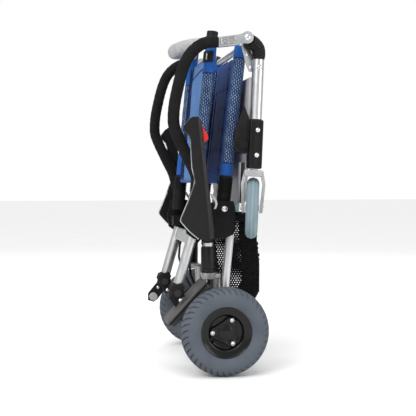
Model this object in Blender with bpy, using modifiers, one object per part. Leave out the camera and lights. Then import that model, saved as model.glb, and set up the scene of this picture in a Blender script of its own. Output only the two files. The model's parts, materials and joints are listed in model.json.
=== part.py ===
"""A folding powered transport wheelchair, standing folded on its two drive wheels and a parking stand.

+X is the way the user faces, +Y is the user's left and +Z is up, in metres. The floor is Z = 0.
The folded chair is drawn at rest. Opening it swings the arm loops forward about the hinge
castings, and the seat, the backrest and the front legs follow.
"""

import math

import bmesh
import bpy
from mathutils import Matrix, Vector

# Driving dimensions.
FRAME_SHIFT_X = -0.0060  # moves the whole chair so that its box is centred on the origin
GAP = 0.0004  # between neighbours that touch

AXLE_X = 0.028
DRIVE_RADIUS = 0.126
DRIVE_WIDTH = 0.076
DRIVE_RIM_RADIUS = 0.072
TRACK_HALF = 0.250

FRAME_Y = 0.172  # backrest posts, seat rails and rear legs
ARM_Y = 0.235  # arm loops and front legs
CARRIER_Y = 0.150  # rear carrier rails
CASTING_Y = 0.195  # inner face of the hinge castings
CASTING_THICK = 0.008
PANEL_Y = 0.2525  # inner face of the side panels
PANEL_THICK = 0.020

HINGE_Z = 0.470
SEAT_AXIS = (0.036, HINGE_Z)
BACK_AXIS = (-0.045, HINGE_Z)
ARM_AXIS = (-0.0252, 0.4508)
KNEE_AXIS = (0.0924, 0.952)

POST_RADIUS = 0.0165
RAIL_RADIUS = 0.0175
BOOT_RADIUS = 0.021
LOOP_RADIUS = 0.0165
LEG_RADIUS = 0.0165
REAR_LEG_RADIUS = 0.012
CARRIER_RADIUS = 0.0155

CASTER_RADIUS = 0.0885
CASTER_WIDTH = 0.036
CASTER_TRAIL = 0.035  # long enough for the tyre to turn past the hinge casting
CASTER_DROP = 0.112  # from the housing's foot down to the caster's axle
CASTER_YAW = math.radians(12.7)  # how far the folded casters turn from straight inboard

FOOTPLATE_AXIS = (0.112, 0.487)
STAND_SKID = (-0.026, 0.094)  # the skid reaches both ways from the axle, so the chair balances

SIDES = (("left", 1), ("right", -1))

FINISHES = {
    "satin_aluminium": ((0.72, 0.73, 0.75), 0.30, 0.9),
    "black_plastic": ((0.020, 0.020, 0.022), 0.45, 0.0),
    "foam": ((0.018, 0.018, 0.020), 0.85, 0.0),
    "drive_tyre": ((0.125, 0.140, 0.165), 0.80, 0.0),
    "caster_tyre": ((0.290, 0.370, 0.400), 0.55, 0.0),
    "rim_black": ((0.015, 0.015, 0.016), 0.35, 0.2),
    "back_fabric": ((0.100, 0.220, 0.480), 0.80, 0.0),
    "seat_fabric": ((0.010, 0.035, 0.160), 0.80, 0.0),
    "grey_panel": ((0.340, 0.345, 0.350), 0.55, 0.0),
    "light_grip": ((0.550, 0.560, 0.570), 0.60, 0.0),
    "cast_aluminium": ((0.500, 0.500, 0.510), 0.50, 0.7),
    "battery_case": ((0.055, 0.055, 0.058), 0.50, 0.0),
    "mesh_black": ((0.015, 0.015, 0.015), 0.90, 0.0),
    "red_plastic": ((0.650, 0.020, 0.015), 0.40, 0.0),
}


def clear_scene():
    for thing in list(bpy.data.objects):
        bpy.data.objects.remove(thing, do_unlink=True)


def new_collection(name):
    made = bpy.data.collections.new(name)
    bpy.context.scene.collection.children.link(made)
    return made


clear_scene()
PARTS = new_collection("transport_wheelchair")
TOOLS = new_collection("joined_shapes_and_cutters")


def finish_material(finish):
    found = bpy.data.materials.get(finish)
    if found:
        return found
    made = bpy.data.materials.new(finish)
    made.use_nodes = True
    color, roughness, metallic = FINISHES[finish]
    shader = made.node_tree.nodes["Principled BSDF"]
    shader.inputs["Base Color"].default_value = (*color, 1.0)
    shader.inputs["Roughness"].default_value = roughness
    shader.inputs["Metallic"].default_value = metallic
    return made


def pivot(name, x, y, z, parent=None):
    """An empty on a joint's axis, which the pieces of the moving body are parented to."""
    empty = bpy.data.objects.new(name, None)
    empty.empty_display_size = 0.03
    PARTS.objects.link(empty)
    empty.location = (x, y, z)
    if parent:
        attach(empty, parent)
    bpy.context.view_layer.update()
    return empty


def attach(thing, parent):
    thing.parent = parent
    thing.matrix_parent_inverse = parent.matrix_world.inverted()


def place(thing, finish, parent):
    """Makes a shape a piece of the chair."""
    PARTS.objects.link(thing)
    thing.data.materials.append(finish_material(finish))
    bpy.context.view_layer.update()
    attach(thing, parent)
    return thing


def smooth(mesh, angle=35):
    mesh.shade_smooth()
    mesh.set_sharp_from_angle(angle=math.radians(angle))


def mesh_object(name, shape, at=(0, 0, 0), turn=(0, 0, 0)):
    mesh = bpy.data.meshes.new(name)
    bmesh.ops.recalc_face_normals(shape, faces=shape.faces)
    shape.to_mesh(mesh)
    shape.free()
    smooth(mesh)
    thing = bpy.data.objects.new(name, mesh)
    thing.location = at
    thing.rotation_euler = turn
    return thing


def block(name, low, high, tilt=0.0, bevel=0.0):
    """A box between two corners, turned about Y through its middle, with rounded edges."""
    low, high = Vector(low), Vector(high)
    shape = bmesh.new()
    bmesh.ops.create_cube(shape, size=1.0)
    bmesh.ops.scale(shape, vec=high - low, verts=shape.verts)
    if bevel:
        bmesh.ops.bevel(
            shape, geom=shape.edges[:], offset=bevel, segments=2, profile=0.5, affect="EDGES"
        )
    return mesh_object(name, shape, (low + high) / 2, (0, tilt, 0))


def rod(name, start, end, radius, sides=14, end_radius=None):
    """A straight round bar or cone from one point to another."""
    start, end = Vector(start), Vector(end)
    shape = bmesh.new()
    bmesh.ops.create_cone(
        shape,
        cap_ends=True,
        segments=sides,
        radius1=radius,
        radius2=radius if end_radius is None else end_radius,
        depth=(end - start).length,
    )
    thing = mesh_object(name, shape, (start + end) / 2)
    thing.rotation_euler = (end - start).to_track_quat("Z", "Y").to_euler()
    return thing


def cross_rod(name, x, z, y_from, y_to, radius, sides=18):
    return rod(name, (x, y_from, z), (x, y_to, z), radius, sides)


def slab(name, outline, y_from, y_to, bevel=0.0):
    """A flat plate whose outline lies in XZ, between two values of Y."""
    curve = bpy.data.curves.new(name, "CURVE")
    curve.dimensions = "2D"
    curve.fill_mode = "BOTH"
    curve.extrude = abs(y_to - y_from) / 2
    line = curve.splines.new("POLY")
    line.points.add(len(outline) - 1)
    for point, (x, z) in zip(line.points, outline):
        point.co = (x, z, 0, 1)
    line.use_cyclic_u = True
    thing = bpy.data.objects.new(name, curve)
    thing.location = (0, (y_from + y_to) / 2, 0)
    thing.rotation_euler = (math.pi / 2, 0, 0)
    made = as_mesh(thing)
    if bevel:
        rounding = made.modifiers.new("rounding", "BEVEL")
        rounding.width = bevel
        rounding.segments = 1
        rounding.limit_method = "ANGLE"
        rounding.angle_limit = math.radians(40)
    return made


def round_bend(corners, radius, steps=4):
    """The points of a path whose inner corners are rounded with arcs of one radius."""
    corners = [Vector(c) for c in corners]
    path = [corners[0]]
    for before, corner, after in zip(corners, corners[1:], corners[2:]):
        back, ahead = (before - corner).normalized(), (after - corner).normalized()
        half = back.angle(ahead) / 2
        reach = min(
            radius / math.tan(half), 0.48 * (before - corner).length, 0.48 * (after - corner).length
        )
        bow = reach * math.tan(half)
        centre = corner + (back + ahead).normalized() * math.hypot(bow, reach)
        start = (corner + back * reach - centre).normalized()
        end = (corner + ahead * reach - centre).normalized()
        path += [centre + bow * start.slerp(end, i / steps) for i in range(steps + 1)]
    path.append(corners[-1])
    return path


def tube(name, path, radius, sides=3):
    """A bent round tube. sides is the curve's bevel resolution: 3 gives ten sides."""
    curve = bpy.data.curves.new(name, "CURVE")
    curve.dimensions = "3D"
    curve.bevel_depth = radius
    curve.bevel_resolution = sides
    curve.use_fill_caps = True
    line = curve.splines.new("POLY")
    line.points.add(len(path) - 1)
    for point, at in zip(line.points, path):
        point.co = (*at, 1)
    return bpy.data.objects.new(name, curve)


def as_mesh(curve_object):
    """The curve's solid as a mesh object in the same place, with its caps welded on."""
    TOOLS.objects.link(curve_object)
    bpy.context.view_layer.update()
    graph = bpy.context.evaluated_depsgraph_get()
    mesh = bpy.data.meshes.new_from_object(curve_object.evaluated_get(graph))
    mesh.materials.clear()
    shape = bmesh.new()
    shape.from_mesh(mesh)
    bmesh.ops.remove_doubles(shape, verts=shape.verts, dist=1e-5)
    bmesh.ops.recalc_face_normals(shape, faces=shape.faces)
    shape.to_mesh(mesh)
    shape.free()
    smooth(mesh)
    made = bpy.data.objects.new(curve_object.name, mesh)
    made.matrix_world = curve_object.matrix_world.copy()
    name = curve_object.name
    bpy.data.objects.remove(curve_object, do_unlink=True)
    made.name = name
    return made


def turned(name, profile, frame, steps=28, closed=False):
    """A turned shape: (radius, height) points run down the outer side, about the frame's Z axis."""
    mesh = bpy.data.meshes.new(name)
    points = [(r, 0, h) for r, h in profile]
    links = [(i, i + 1) for i in range(len(points) - 1)]
    if closed:
        links.append((len(points) - 1, 0))
    mesh.from_pydata(points, links, [])
    thing = bpy.data.objects.new(name, mesh)
    thing.matrix_world = frame
    screw = thing.modifiers.new("turning", "SCREW")
    screw.steps = steps
    screw.render_steps = steps
    screw.use_merge_vertices = True
    screw.merge_threshold = 1e-5
    return thing


def helper(thing, parent):
    """Keeps a shape that only joins or cuts another one."""
    TOOLS.objects.link(thing)
    thing.hide_render = True
    thing.display_type = "WIRE"
    bpy.context.view_layer.update()
    attach(thing, parent)


def boolean(base, others, operation, parent):
    for number, other in enumerate(others):
        helper(other, parent)
        step = base.modifiers.new(f"{operation.lower()}_{number}", "BOOLEAN")
        step.operation = operation
        step.object = other


def fused(name, finish, parent, shapes, cutters=()):
    """One closed body made of overlapping shapes, less the cutters."""
    base = shapes[0]
    base.name = name
    place(base, finish, parent)
    boolean(base, shapes[1:], "UNION", parent)
    boolean(base, cutters, "DIFFERENCE", parent)
    return base


def on_line(start, end, z):
    """The X of the straight line between two (X, Z) points at this height."""
    return start[0] + (end[0] - start[0]) * (z - start[1]) / (end[1] - start[1])


# ---------------------------------------------------------------- rear chassis

REAR_LEG_FOOT = (0.032, DRIVE_RADIUS)
REAR_LEG_HEAD = (0.0626, 0.440)
CARRIER_HEAD = (-0.046, 0.400)
CARRIER_FOOT = (-0.090, 0.250)
AXLE_BEAM_RADIUS = 0.015
LEG_BLOCK_Z = 0.4035
RAIL_SOCKET_Z = 0.4048


def axle_beam(chassis):
    half = 0.137
    beam = cross_rod("axle_beam", AXLE_X, DRIVE_RADIUS, -half, half, AXLE_BEAM_RADIUS)
    fused("axle_beam", "satin_aluminium", chassis, [beam])


def rear_leg(chassis, side, sign):
    """A slim tube from the gearbox up to the hinge casting."""
    y = sign * FRAME_Y
    low, high = 0.1775, LEG_BLOCK_Z - 0.0016
    line = (REAR_LEG_FOOT, REAR_LEG_HEAD)
    path = [(on_line(*line, z), y, z) for z in (low, high)]
    fused(f"rear_leg_{side}", "satin_aluminium", chassis, [rod("leg", *path, REAR_LEG_RADIUS, 12)])


MOTOR_X = -0.004
MOTOR_Y = 0.160
MOTOR_FOOT_Z, MOTOR_TOP_Z = 0.2842, 0.360
MOTOR_RADIUS = 0.0215


def gearbox(chassis, side, sign):
    """The cast gearbox round the axle, its neck and the flange that the motor stands on."""
    inner, outer = sign * 0.1375, sign * (TRACK_HALF - DRIVE_WIDTH / 2 - 0.004)
    drum = cross_rod("drum", AXLE_X, DRIVE_RADIUS, inner, outer, 0.036, 20)
    stub = cross_rod("stub", AXLE_X, DRIVE_RADIUS, outer - sign * 0.01, sign * 0.2215, 0.014, 14)
    y = sign * 0.141
    neck = rod("neck", (0.025, y, 0.147), (0.020, y, 0.272), 0.0155, 14)
    top = MOTOR_FOOT_Z - GAP
    seat_y = sign * MOTOR_Y
    flange = rod("flange", (MOTOR_X, seat_y, 0.266), (MOTOR_X, seat_y, top), 0.018, 18, 0.024)
    y_low, y_high = sorted((sign * 0.128, sign * 0.166))
    bridge = block("bridge", (-0.014, y_low, 0.2655), (0.033, y_high, 0.2805), bevel=0.003)
    low, high = (0.020, sign * FRAME_Y - 0.014, 0.130), (0.052, sign * FRAME_Y + 0.014, 0.1755)
    saddle = block("saddle", low, high, bevel=0.003)
    fused(f"gearbox_{side}", "cast_aluminium", chassis, [drum, stub, neck, bridge, flange, saddle])


def drive_motor(chassis, side, sign):
    """An upright can motor with a small cap that its cable enters."""
    y = sign * MOTOR_Y
    can = rod("can", (MOTOR_X, y, MOTOR_FOOT_Z), (MOTOR_X, y, MOTOR_TOP_Z), MOTOR_RADIUS, 18)
    cap = rod("cap", (MOTOR_X, y, MOTOR_TOP_Z - 0.002), (MOTOR_X, y, MOTOR_TOP_Z + 0.018), 0.0145, 14)
    fused(f"drive_motor_{side}", "black_plastic", chassis, [can, cap])


def hinge_casting(chassis, side, sign):
    """The black side plate that carries the seat, backrest and arm pivots."""
    inner, outer = sign * CASTING_Y, sign * (CASTING_Y + CASTING_THICK)
    outline = [
        (0.020, 0.492), (0.062, 0.492), (0.067, 0.472), (0.067, 0.414), (0.062, 0.396),
        (0.034, 0.384), (-0.052, 0.384), (-0.074, 0.400), (-0.078, 0.440), (-0.066, 0.484),
        (-0.044, 0.493), (-0.010, 0.486),
    ]
    plate = slab("plate", outline, inner, outer)
    leg_x = on_line(REAR_LEG_FOOT, REAR_LEG_HEAD, LEG_BLOCK_Z + 0.018)
    reach = sign * (FRAME_Y - REAR_LEG_RADIUS)
    legs_end = block(
        "leg_socket",
        (leg_x - 0.013, min(reach, inner + sign * 0.002), LEG_BLOCK_Z),
        (leg_x + 0.007, max(reach, inner + sign * 0.002), 0.438),
    )
    rail_x = CARRIER_HEAD[0]
    reach = sign * (CARRIER_Y - CARRIER_RADIUS)
    rail_end = block(
        "rail_socket",
        (rail_x - 0.020, min(reach, inner + sign * 0.002), RAIL_SOCKET_Z),
        (rail_x + 0.018, max(reach, inner + sign * 0.002), 0.436),
    )
    boss_end = sign * (ARM_Y - LOOP_RADIUS - GAP)
    boss = cross_rod("arm_boss", *ARM_AXIS, inner + sign * 0.002, boss_end, 0.014, 14)
    fused(f"hinge_casting_{side}", "black_plastic", chassis, [plate, legs_end, rail_end, boss])


def carrier(chassis):
    """Two leaning rails and the wide plate between them."""
    for side, sign in SIDES:
        y = sign * CARRIER_Y
        head, foot = CARRIER_HEAD, CARRIER_FOOT
        rail = rod("rail", (foot[0], y, foot[1]), (head[0], y, head[1]), CARRIER_RADIUS, 14)
        fused(f"carrier_rail_{side}", "satin_aluminium", chassis, [rail])
    half = CARRIER_Y - CARRIER_RADIUS - GAP
    top, low = 0.400, 0.362
    x = on_line(CARRIER_HEAD, CARRIER_FOOT, (top + low) / 2)
    lean = math.atan2(CARRIER_HEAD[0] - CARRIER_FOOT[0], CARRIER_HEAD[1] - CARRIER_FOOT[1])
    plate = block("plate", (x - 0.006, -half, low), (x + 0.006, half, top), lean, 0.002)
    fused("carrier_plate", "satin_aluminium", chassis, [plate])


def rear_knuckle(chassis, side, sign):
    """The ribbed black shoe on the foot of a carrier rail, and its ear plate, cut short by the battery."""
    y = sign * CARRIER_Y
    lean = Vector((CARRIER_FOOT[0] - CARRIER_HEAD[0], 0, CARRIER_FOOT[1] - CARRIER_HEAD[1])).normalized()
    top = Vector((CARRIER_FOOT[0], y, CARRIER_FOOT[1])) + lean * GAP
    shoe = rod("shoe", top, top + lean * 0.040, 0.0195, 12)
    ear_inner, ear_outer = y + sign * 0.012, y + sign * 0.018
    outline = [(-0.092, 0.236), (-0.082, 0.211), (-0.100, 0.184)]
    if side == "left":
        outline += [(-0.116, 0.164), (-0.128, 0.156), (-0.146, 0.162), (-0.146, 0.184)]
    outline.append((-0.122, 0.214))
    ear = slab("ear", outline, ear_inner, ear_outer)
    fused(f"rear_knuckle_{side}", "black_plastic", chassis, [shoe, ear])


def battery(chassis):
    """The slim battery pack, which lies slanted beside the right wheel."""
    slope = math.radians(-47)
    x, z = -0.0650, 0.1955
    low, high = (x - 0.082, -0.196, z - 0.012), (x + 0.082, -0.094, z + 0.012)
    fused("battery_pack", "battery_case", chassis, [block("pack", low, high, slope, 0.006)])


def basket(chassis):
    """An open-topped mesh bag that hangs under the seat, as a thin shell."""
    half = 0.115
    outline = [
        (0.010, 0.448), (0.046, 0.200), (0.144, 0.200), (0.158, 0.224), (0.158, 0.300), (0.142, 0.448),
    ]
    shape = bmesh.new()
    cheek = shape.faces.new([shape.verts.new((x, -half, z)) for x, z in outline])
    pulled = bmesh.ops.extrude_face_region(shape, geom=[cheek])["geom"]
    moved = [item for item in pulled if isinstance(item, bmesh.types.BMVert)]
    bmesh.ops.translate(shape, vec=(0, 2 * half, 0), verts=moved)
    roof = max(shape.faces, key=lambda face: face.calc_center_median().z)
    bmesh.ops.delete(shape, geom=[roof], context="FACES")
    bag = mesh_object("under_seat_basket", shape)
    wall = bag.modifiers.new("wall", "SOLIDIFY")
    wall.thickness = 0.003
    wall.offset = -1
    wall.use_even_offset = True
    place(bag, "mesh_black", chassis)


def motor_cable(chassis, side, sign):
    """The cable that loops from a motor's cap down to the axle beam."""
    route = [
        (MOTOR_X, 0.160, MOTOR_TOP_Z + 0.0184), (MOTOR_X, 0.160, 0.388), (-0.016, 0.157, 0.391),
        (-0.032, 0.148, 0.376), (-0.046, 0.132, 0.345), (-0.052, 0.112, 0.305), (-0.046, 0.094, 0.272),
        (-0.032, 0.084, 0.240), (-0.012, 0.082, 0.202), (0.006, 0.082, 0.170), (0.0165, 0.082, 0.1405),
    ]
    path = round_bend([(x, sign * y, z) for x, y, z in route], 0.030, 2)
    place(tube(f"motor_cable_{side}", path, 0.0035, 2), "black_plastic", chassis)


# ------------------------------------------------------------------- the stand


def parking_stand(body):
    """The swing-down stand on the axle beam that keeps the folded chair upright."""
    ring_in, ring_out, half = AXLE_BEAM_RADIUS + 0.0006, 0.0225, 0.020
    collar = cross_rod("collar", AXLE_X, DRIVE_RADIUS, -half, half, ring_out, 20)
    bore = cross_rod("stand_bore", AXLE_X, DRIVE_RADIUS, -0.03, 0.03, ring_in, 20)
    rear, front = STAND_SKID
    shin = rod("shin", (AXLE_X, 0, 0.106), ((rear + front) / 2, 0, 0.010), 0.0085, 12)
    skid = block("skid", (rear, -0.045, 0.0), (front, 0.045, 0.012), bevel=0.0)
    fused("parking_stand", "satin_aluminium", body, [collar, shin, skid], [bore])


# ---------------------------------------------------------------- drive wheels


def drive_wheel(body, side, sign):
    """The pneumatic tyre and its black steel rim; the frame's Z axis points outboard."""
    frame = Matrix.Translation((AXLE_X, sign * TRACK_HALF, DRIVE_RADIUS))
    frame = frame @ Matrix.Rotation(math.radians(-90 * sign), 4, "X")
    half, rim = DRIVE_WIDTH / 2, DRIVE_RIM_RADIUS
    tread = [
        (rim + 0.0004, half - 0.010), (rim + 0.008, half - 0.004), (rim + 0.022, half),
        (rim + 0.038, half - 0.003), (DRIVE_RADIUS - 0.006, half - 0.014),
        (DRIVE_RADIUS - 0.001, half - 0.026),
    ]
    lower = [(r, -h) for r, h in reversed(tread)]
    tyre = turned(f"drive_tyre_{side}", tread + [(DRIVE_RADIUS, 0)] + lower, frame, 36, True)
    place(tyre, "drive_tyre", body)
    profile = [
        (0, 0.020), (0.026, 0.020), (0.030, 0.014), (0.050, 0.010), (0.060, 0.026),
        (rim, 0.028), (rim, -0.028), (0.060, -0.026), (0.052, -0.010), (0.016, -0.010),
        (0.0155, -0.027), (0, -0.027),
    ]
    place(turned(f"drive_rim_{side}", profile, frame, 28), "rim_black", body)


# ------------------------------------------------------------------------ seat

SEAT_HEAD = (0.0888, 0.9386)
BACK_HEAD = (-0.0008, 0.904)


def along(axis, head, distance, y):
    """A point this far up the line from a pivot to its frame's head."""
    base, top = Vector((axis[0], y, axis[1])), Vector((head[0], y, head[1]))
    return base + (top - base).normalized() * distance


def seat(body):
    for side, sign in SIDES:
        y = sign * FRAME_Y
        rail = rod("rail", along(SEAT_AXIS, SEAT_HEAD, 0.085, y), along(SEAT_AXIS, SEAT_HEAD, 0.4716, y),
                   RAIL_RADIUS, 14)
        boot = rod("boot", along(SEAT_AXIS, SEAT_HEAD, -0.016, y), along(SEAT_AXIS, SEAT_HEAD, 0.094, y),
                   BOOT_RADIUS, 14)
        fused(f"seat_rail_{side}", "seat_fabric", body, [rail, boot])
    half = FRAME_Y - BOOT_RADIUS - 0.001
    lean = math.atan2(SEAT_HEAD[0] - SEAT_AXIS[0], SEAT_HEAD[1] - SEAT_AXIS[1])
    middle = along(SEAT_AXIS, SEAT_HEAD, 0.262, 0)
    low = middle + Vector((-0.006, -half, -0.182))
    high = middle + Vector((0.006, half, 0.182))
    fused("seat_sling", "seat_fabric", body, [block("sling", low, high, lean, 0.004)])
    front, thick = along(SEAT_AXIS, SEAT_HEAD, 0.4716, 0), 0.011
    reach = FRAME_Y - RAIL_RADIUS - GAP
    bar = cross_rod("bar", front.x, front.z - 0.006, -reach, reach, thick, 12)
    fused("seat_front_bar", "satin_aluminium", body, [bar])


def backrest(body):
    for side, sign in SIDES:
        y = sign * FRAME_Y
        post = rod("post", along(BACK_AXIS, BACK_HEAD, 0.075, y), along(BACK_AXIS, BACK_HEAD, 0.511, y),
                   POST_RADIUS, 14)
        boot = rod("boot", along(BACK_AXIS, BACK_HEAD, -0.016, y), along(BACK_AXIS, BACK_HEAD, 0.085, y),
                   BOOT_RADIUS, 14)
        fused(f"back_post_{side}", "back_fabric", body, [post, boot])
    half = FRAME_Y - BOOT_RADIUS - 0.001
    lean = math.atan2(BACK_HEAD[0] - BACK_AXIS[0], BACK_HEAD[1] - BACK_AXIS[1])
    middle = along(BACK_AXIS, BACK_HEAD, 0.258, 0)
    low = middle + Vector((-0.006, -half, -0.181))
    high = middle + Vector((0.006, half, 0.181))
    fused("back_sling", "back_fabric", body, [block("sling", low, high, lean, 0.004)])


def push_handle(body):
    """The bowed grip that joins the tops of the backrest posts."""
    end_y, z = FRAME_Y - POST_RADIUS - GAP, 0.950
    half = [(0.004, end_y), (0.004, 0.142), (-0.034, 0.112), (-0.066, 0.070), (-0.077, 0.030)]
    bow = [(x, -y, z) for x, y in half] + [(x, y, z) for x, y in reversed(half)]
    place(tube("push_handle", round_bend(bow, 0.060, 3), 0.0135, 3), "light_grip", body)


# ------------------------------------------------------------------- arm loops

LOOP_PATH = [
    (0.0098, 0.939), (-0.022, 0.937), (-0.071, 0.899), (-0.092, 0.854), (-0.114, 0.763),
    (-0.118, 0.717), (-0.101, 0.666), (-0.053, 0.571), ARM_AXIS,
]


def arm_loop(body, side, sign):
    """The foam-covered loop: a push bar when folded and an armrest when open."""
    y = sign * ARM_Y
    path = round_bend([(x, y, z) for x, z in LOOP_PATH], 0.060, 2)
    place(tube(f"arm_loop_{side}", path, LOOP_RADIUS, 3), "foam", body)


def arm_bar(body, side, sign):
    """The flat top bar from the foam to the knee joint, which ends in a round eye."""
    inner, outer = sign * (ARM_Y - 0.009), sign * (ARM_Y + 0.009)
    bar = slab("bar", [(0.0114, 0.924), (0.0114, 0.952), (0.073, 0.961), (0.073, 0.932)], inner, outer)
    eye_in, eye_out = sign * (ARM_Y + 0.005), sign * (ARM_Y + 0.015)
    eye = cross_rod("eye", *KNEE_AXIS, eye_in, eye_out, 0.0175, 18)
    neck = slab("neck", [(0.060, 0.936), (0.060, 0.958), (0.092, 0.967), (0.092, 0.936)], eye_in, eye_out)
    fused(f"arm_bar_{side}", "satin_aluminium", body, [bar, neck, eye])


def side_panel(body, side, sign):
    """The long black cover beside the thigh, which holds the hand control."""
    outline = [
        (-0.067, 0.727), (-0.051, 0.727), (-0.043, 0.718), (-0.033, 0.633), (-0.017, 0.493),
        (-0.007, 0.414), (-0.008, 0.391), (-0.025, 0.381), (-0.048, 0.389), (-0.073, 0.409),
        (-0.096, 0.434), (-0.098, 0.446), (-0.078, 0.493), (-0.059, 0.546), (-0.067, 0.591),
        (-0.071, 0.661), (-0.076, 0.675), (-0.091, 0.690), (-0.091, 0.702), (-0.077, 0.720),
    ]
    inner, outer = sign * PANEL_Y, sign * (PANEL_Y + PANEL_THICK)
    fused(f"side_panel_{side}", "black_plastic", body, [slab("panel", outline, inner, outer, 0.004)])


TAB_AXIS = (-0.0355, 0.661)
HOOK_AXIS = (-0.0100, 0.508)


def release_tab(body, side, sign):
    """The red finger tab at the edge of the side panel."""
    inner, outer = sign * (PANEL_Y + 0.004), sign * (PANEL_Y + 0.014)
    outline = [(-0.0408, 0.706), (-0.0220, 0.672), (-0.0225, 0.664), (-0.0347, 0.656)]
    fused(f"release_tab_{side}", "red_plastic", body, [slab("tab", outline, inner, outer)])


def lock_hook(body, side, sign):
    """The small crescent hook that holds the folded frame shut."""
    inner, outer = sign * 0.2460, sign * (PANEL_Y - GAP)
    outline = [
        (-0.013, 0.514), (-0.007, 0.513), (0.004, 0.496), (0.0065, 0.484), (0.003, 0.473),
        (-0.005, 0.470), (-0.002, 0.476), (0.0005, 0.484), (-0.002, 0.492), (-0.010, 0.503),
    ]
    fused(f"lock_hook_{side}", "light_grip", body, [slab("hook", outline, inner, outer)])


# ------------------------------------------------------------------ front legs

FRONT_LEG_TOP = (0.1266, 0.893)
FRONT_LEG_FOOT = (0.1197, 0.7225)
HOUSING_FOOT_Z = 0.584
FRONT_LEAN = math.atan2(FRONT_LEG_TOP[0] - FRONT_LEG_FOOT[0], FRONT_LEG_TOP[1] - FRONT_LEG_FOOT[1])


def leg_line_x(z):
    """The X of the front leg's centre line at this height."""
    return on_line(FRONT_LEG_FOOT, FRONT_LEG_TOP, z)


def front_leg(body, side, sign):
    y = sign * ARM_Y
    foot = (FRONT_LEG_FOOT[0], y, FRONT_LEG_FOOT[1] + GAP)
    top = (FRONT_LEG_TOP[0], y, FRONT_LEG_TOP[1])
    leg = rod("leg", foot, top, LEG_RADIUS, 16)
    fused(f"front_leg_{side}", "satin_aluminium", body, [leg])


def leg_elbow(body, side, sign):
    """The ribbed black knee that hangs on the arm bar's eye, and its ear plate."""
    thin = slab(
        "thin",
        [(0.078, 0.938), (0.086, 0.962), (0.100, 0.964), (0.134, 0.932), (0.146, 0.916),
         (0.146, 0.8935), (0.110, 0.8935), (0.098, 0.924)],
        sign * (ARM_Y - 0.0165),
        sign * (ARM_Y + 0.0045),
    )
    wide = slab(
        "wide",
        [(0.1135, 0.9535), (0.134, 0.932), (0.146, 0.916), (0.146, 0.8935), (0.1135, 0.8935)],
        sign * (ARM_Y - 0.0165),
        sign * (ARM_Y + 0.0165),
    )
    ear = slab(
        "ear",
        [(0.078, 0.930), (0.092, 0.934), (0.118, 0.900), (0.120, 0.862), (0.100, 0.860),
         (0.090, 0.888)],
        sign * (ARM_Y - 0.0215),
        sign * (ARM_Y - 0.0150),
    )
    y, high, low = sign * ARM_Y, 0.8932, 0.840
    top, foot = (leg_line_x(high), y, high), (leg_line_x(low), y, low)
    cut = rod("leg_clearance", top, foot, LEG_RADIUS + GAP, 16)
    fused(f"leg_elbow_{side}", "black_plastic", body, [thin, wide, ear], [cut])


def caster_housing(body, side, sign):
    """The black sleeve that joins the leg to the caster stem, with a side bracket and boss."""
    x_top, x_low = leg_line_x(FRONT_LEG_FOOT[1]), leg_line_x(HOUSING_FOOT_Z)
    x, y = (x_top + x_low) / 2, sign * ARM_Y
    low = (x - 0.0195, y - 0.0195, HOUSING_FOOT_Z)
    high = (x + 0.0195, y + 0.0195, FRONT_LEG_FOOT[1])
    sleeve = block("sleeve", low, high, FRONT_LEAN, 0.005)
    wing = slab(
        "wing",
        [(0.086, 0.762), (0.062, 0.700), (0.056, 0.689), (0.056, 0.638), (0.081, 0.627),
         (0.104, 0.627), (0.104, 0.715)],
        y - 0.006,
        y + 0.006,
    )
    boss = cross_rod("boss", 0.080, 0.652, y - 0.012, y + 0.014, 0.0165, 14)
    fused(f"caster_housing_{side}", "black_plastic", body, [sleeve, wing, boss])


def calf_panel(body):
    """The flat board between the front legs, narrow at its foot where the casters swing."""
    thick, wide, narrow = 0.008, ARM_Y - LEG_RADIUS - 0.0062, 0.108
    top, step, low = 0.846, 0.604, 0.482
    shape = bmesh.new()
    outline = [(-wide, top), (wide, top), (wide, step), (narrow, step), (narrow, low),
               (-narrow, low), (-narrow, step), (-wide, step)]
    ring = [shape.verts.new((leg_line_x(z) - 0.014 - thick / 2, y, z)) for y, z in outline]
    sheet = shape.faces.new(ring)
    pulled = bmesh.ops.extrude_face_region(shape, geom=[sheet])["geom"]
    moved = [item for item in pulled if isinstance(item, bmesh.types.BMVert)]
    bmesh.ops.translate(shape, vec=(thick, 0, 0), verts=moved)
    fused("calf_panel", "grey_panel", body, [mesh_object("board", shape)])


def footplate(body):
    """The folding footplate on the front of the calf panel."""
    x, z = FOOTPLATE_AXIS
    shape = bmesh.new()
    near, far, narrow, wide, thick = 0.012, 0.236, 0.104, 0.146, 0.010
    outline = [(-narrow, near), (narrow, near), (narrow, 0.125), (wide, 0.150), (wide, far),
               (-wide, far), (-wide, 0.150), (-narrow, 0.125)]
    ring = [shape.verts.new((0, y, h)) for y, h in outline]
    sheet = shape.faces.new(ring)
    pulled = bmesh.ops.extrude_face_region(shape, geom=[sheet])["geom"]
    moved = [item for item in pulled if isinstance(item, bmesh.types.BMVert)]
    bmesh.ops.translate(shape, vec=(thick, 0, 0), verts=moved)
    board = mesh_object("tread", shape, (x + 0.001, 0, z), (0, FRONT_LEAN, 0))
    hinge = cross_rod("hinge", x, z, -0.104, 0.104, 0.0055, 12)
    tongue = block("tongue", (x - 0.002, -0.095, z), (x + 0.011, 0.095, z + 0.020))
    fused("footplate", "grey_panel", body, [board, tongue, hinge])


# --------------------------------------------------------------------- casters


def caster_frame(sign):
    """The frame of a caster: its origin at the housing's foot, Z up the stem and X along the trail.

    The stem leans with the leg, and the trail points inboard and a little forward when folded.
    """
    foot = Matrix.Translation((leg_line_x(HOUSING_FOOT_Z), sign * ARM_Y, HOUSING_FOOT_Z))
    lean = Matrix.Rotation(FRONT_LEAN, 4, "Y")
    return foot @ lean @ Matrix.Rotation(-sign * (math.pi / 2 - CASTER_YAW), 4, "Z")


def caster_centre(sign):
    return caster_frame(sign) @ Vector((CASTER_TRAIL, 0, -CASTER_DROP))


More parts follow.
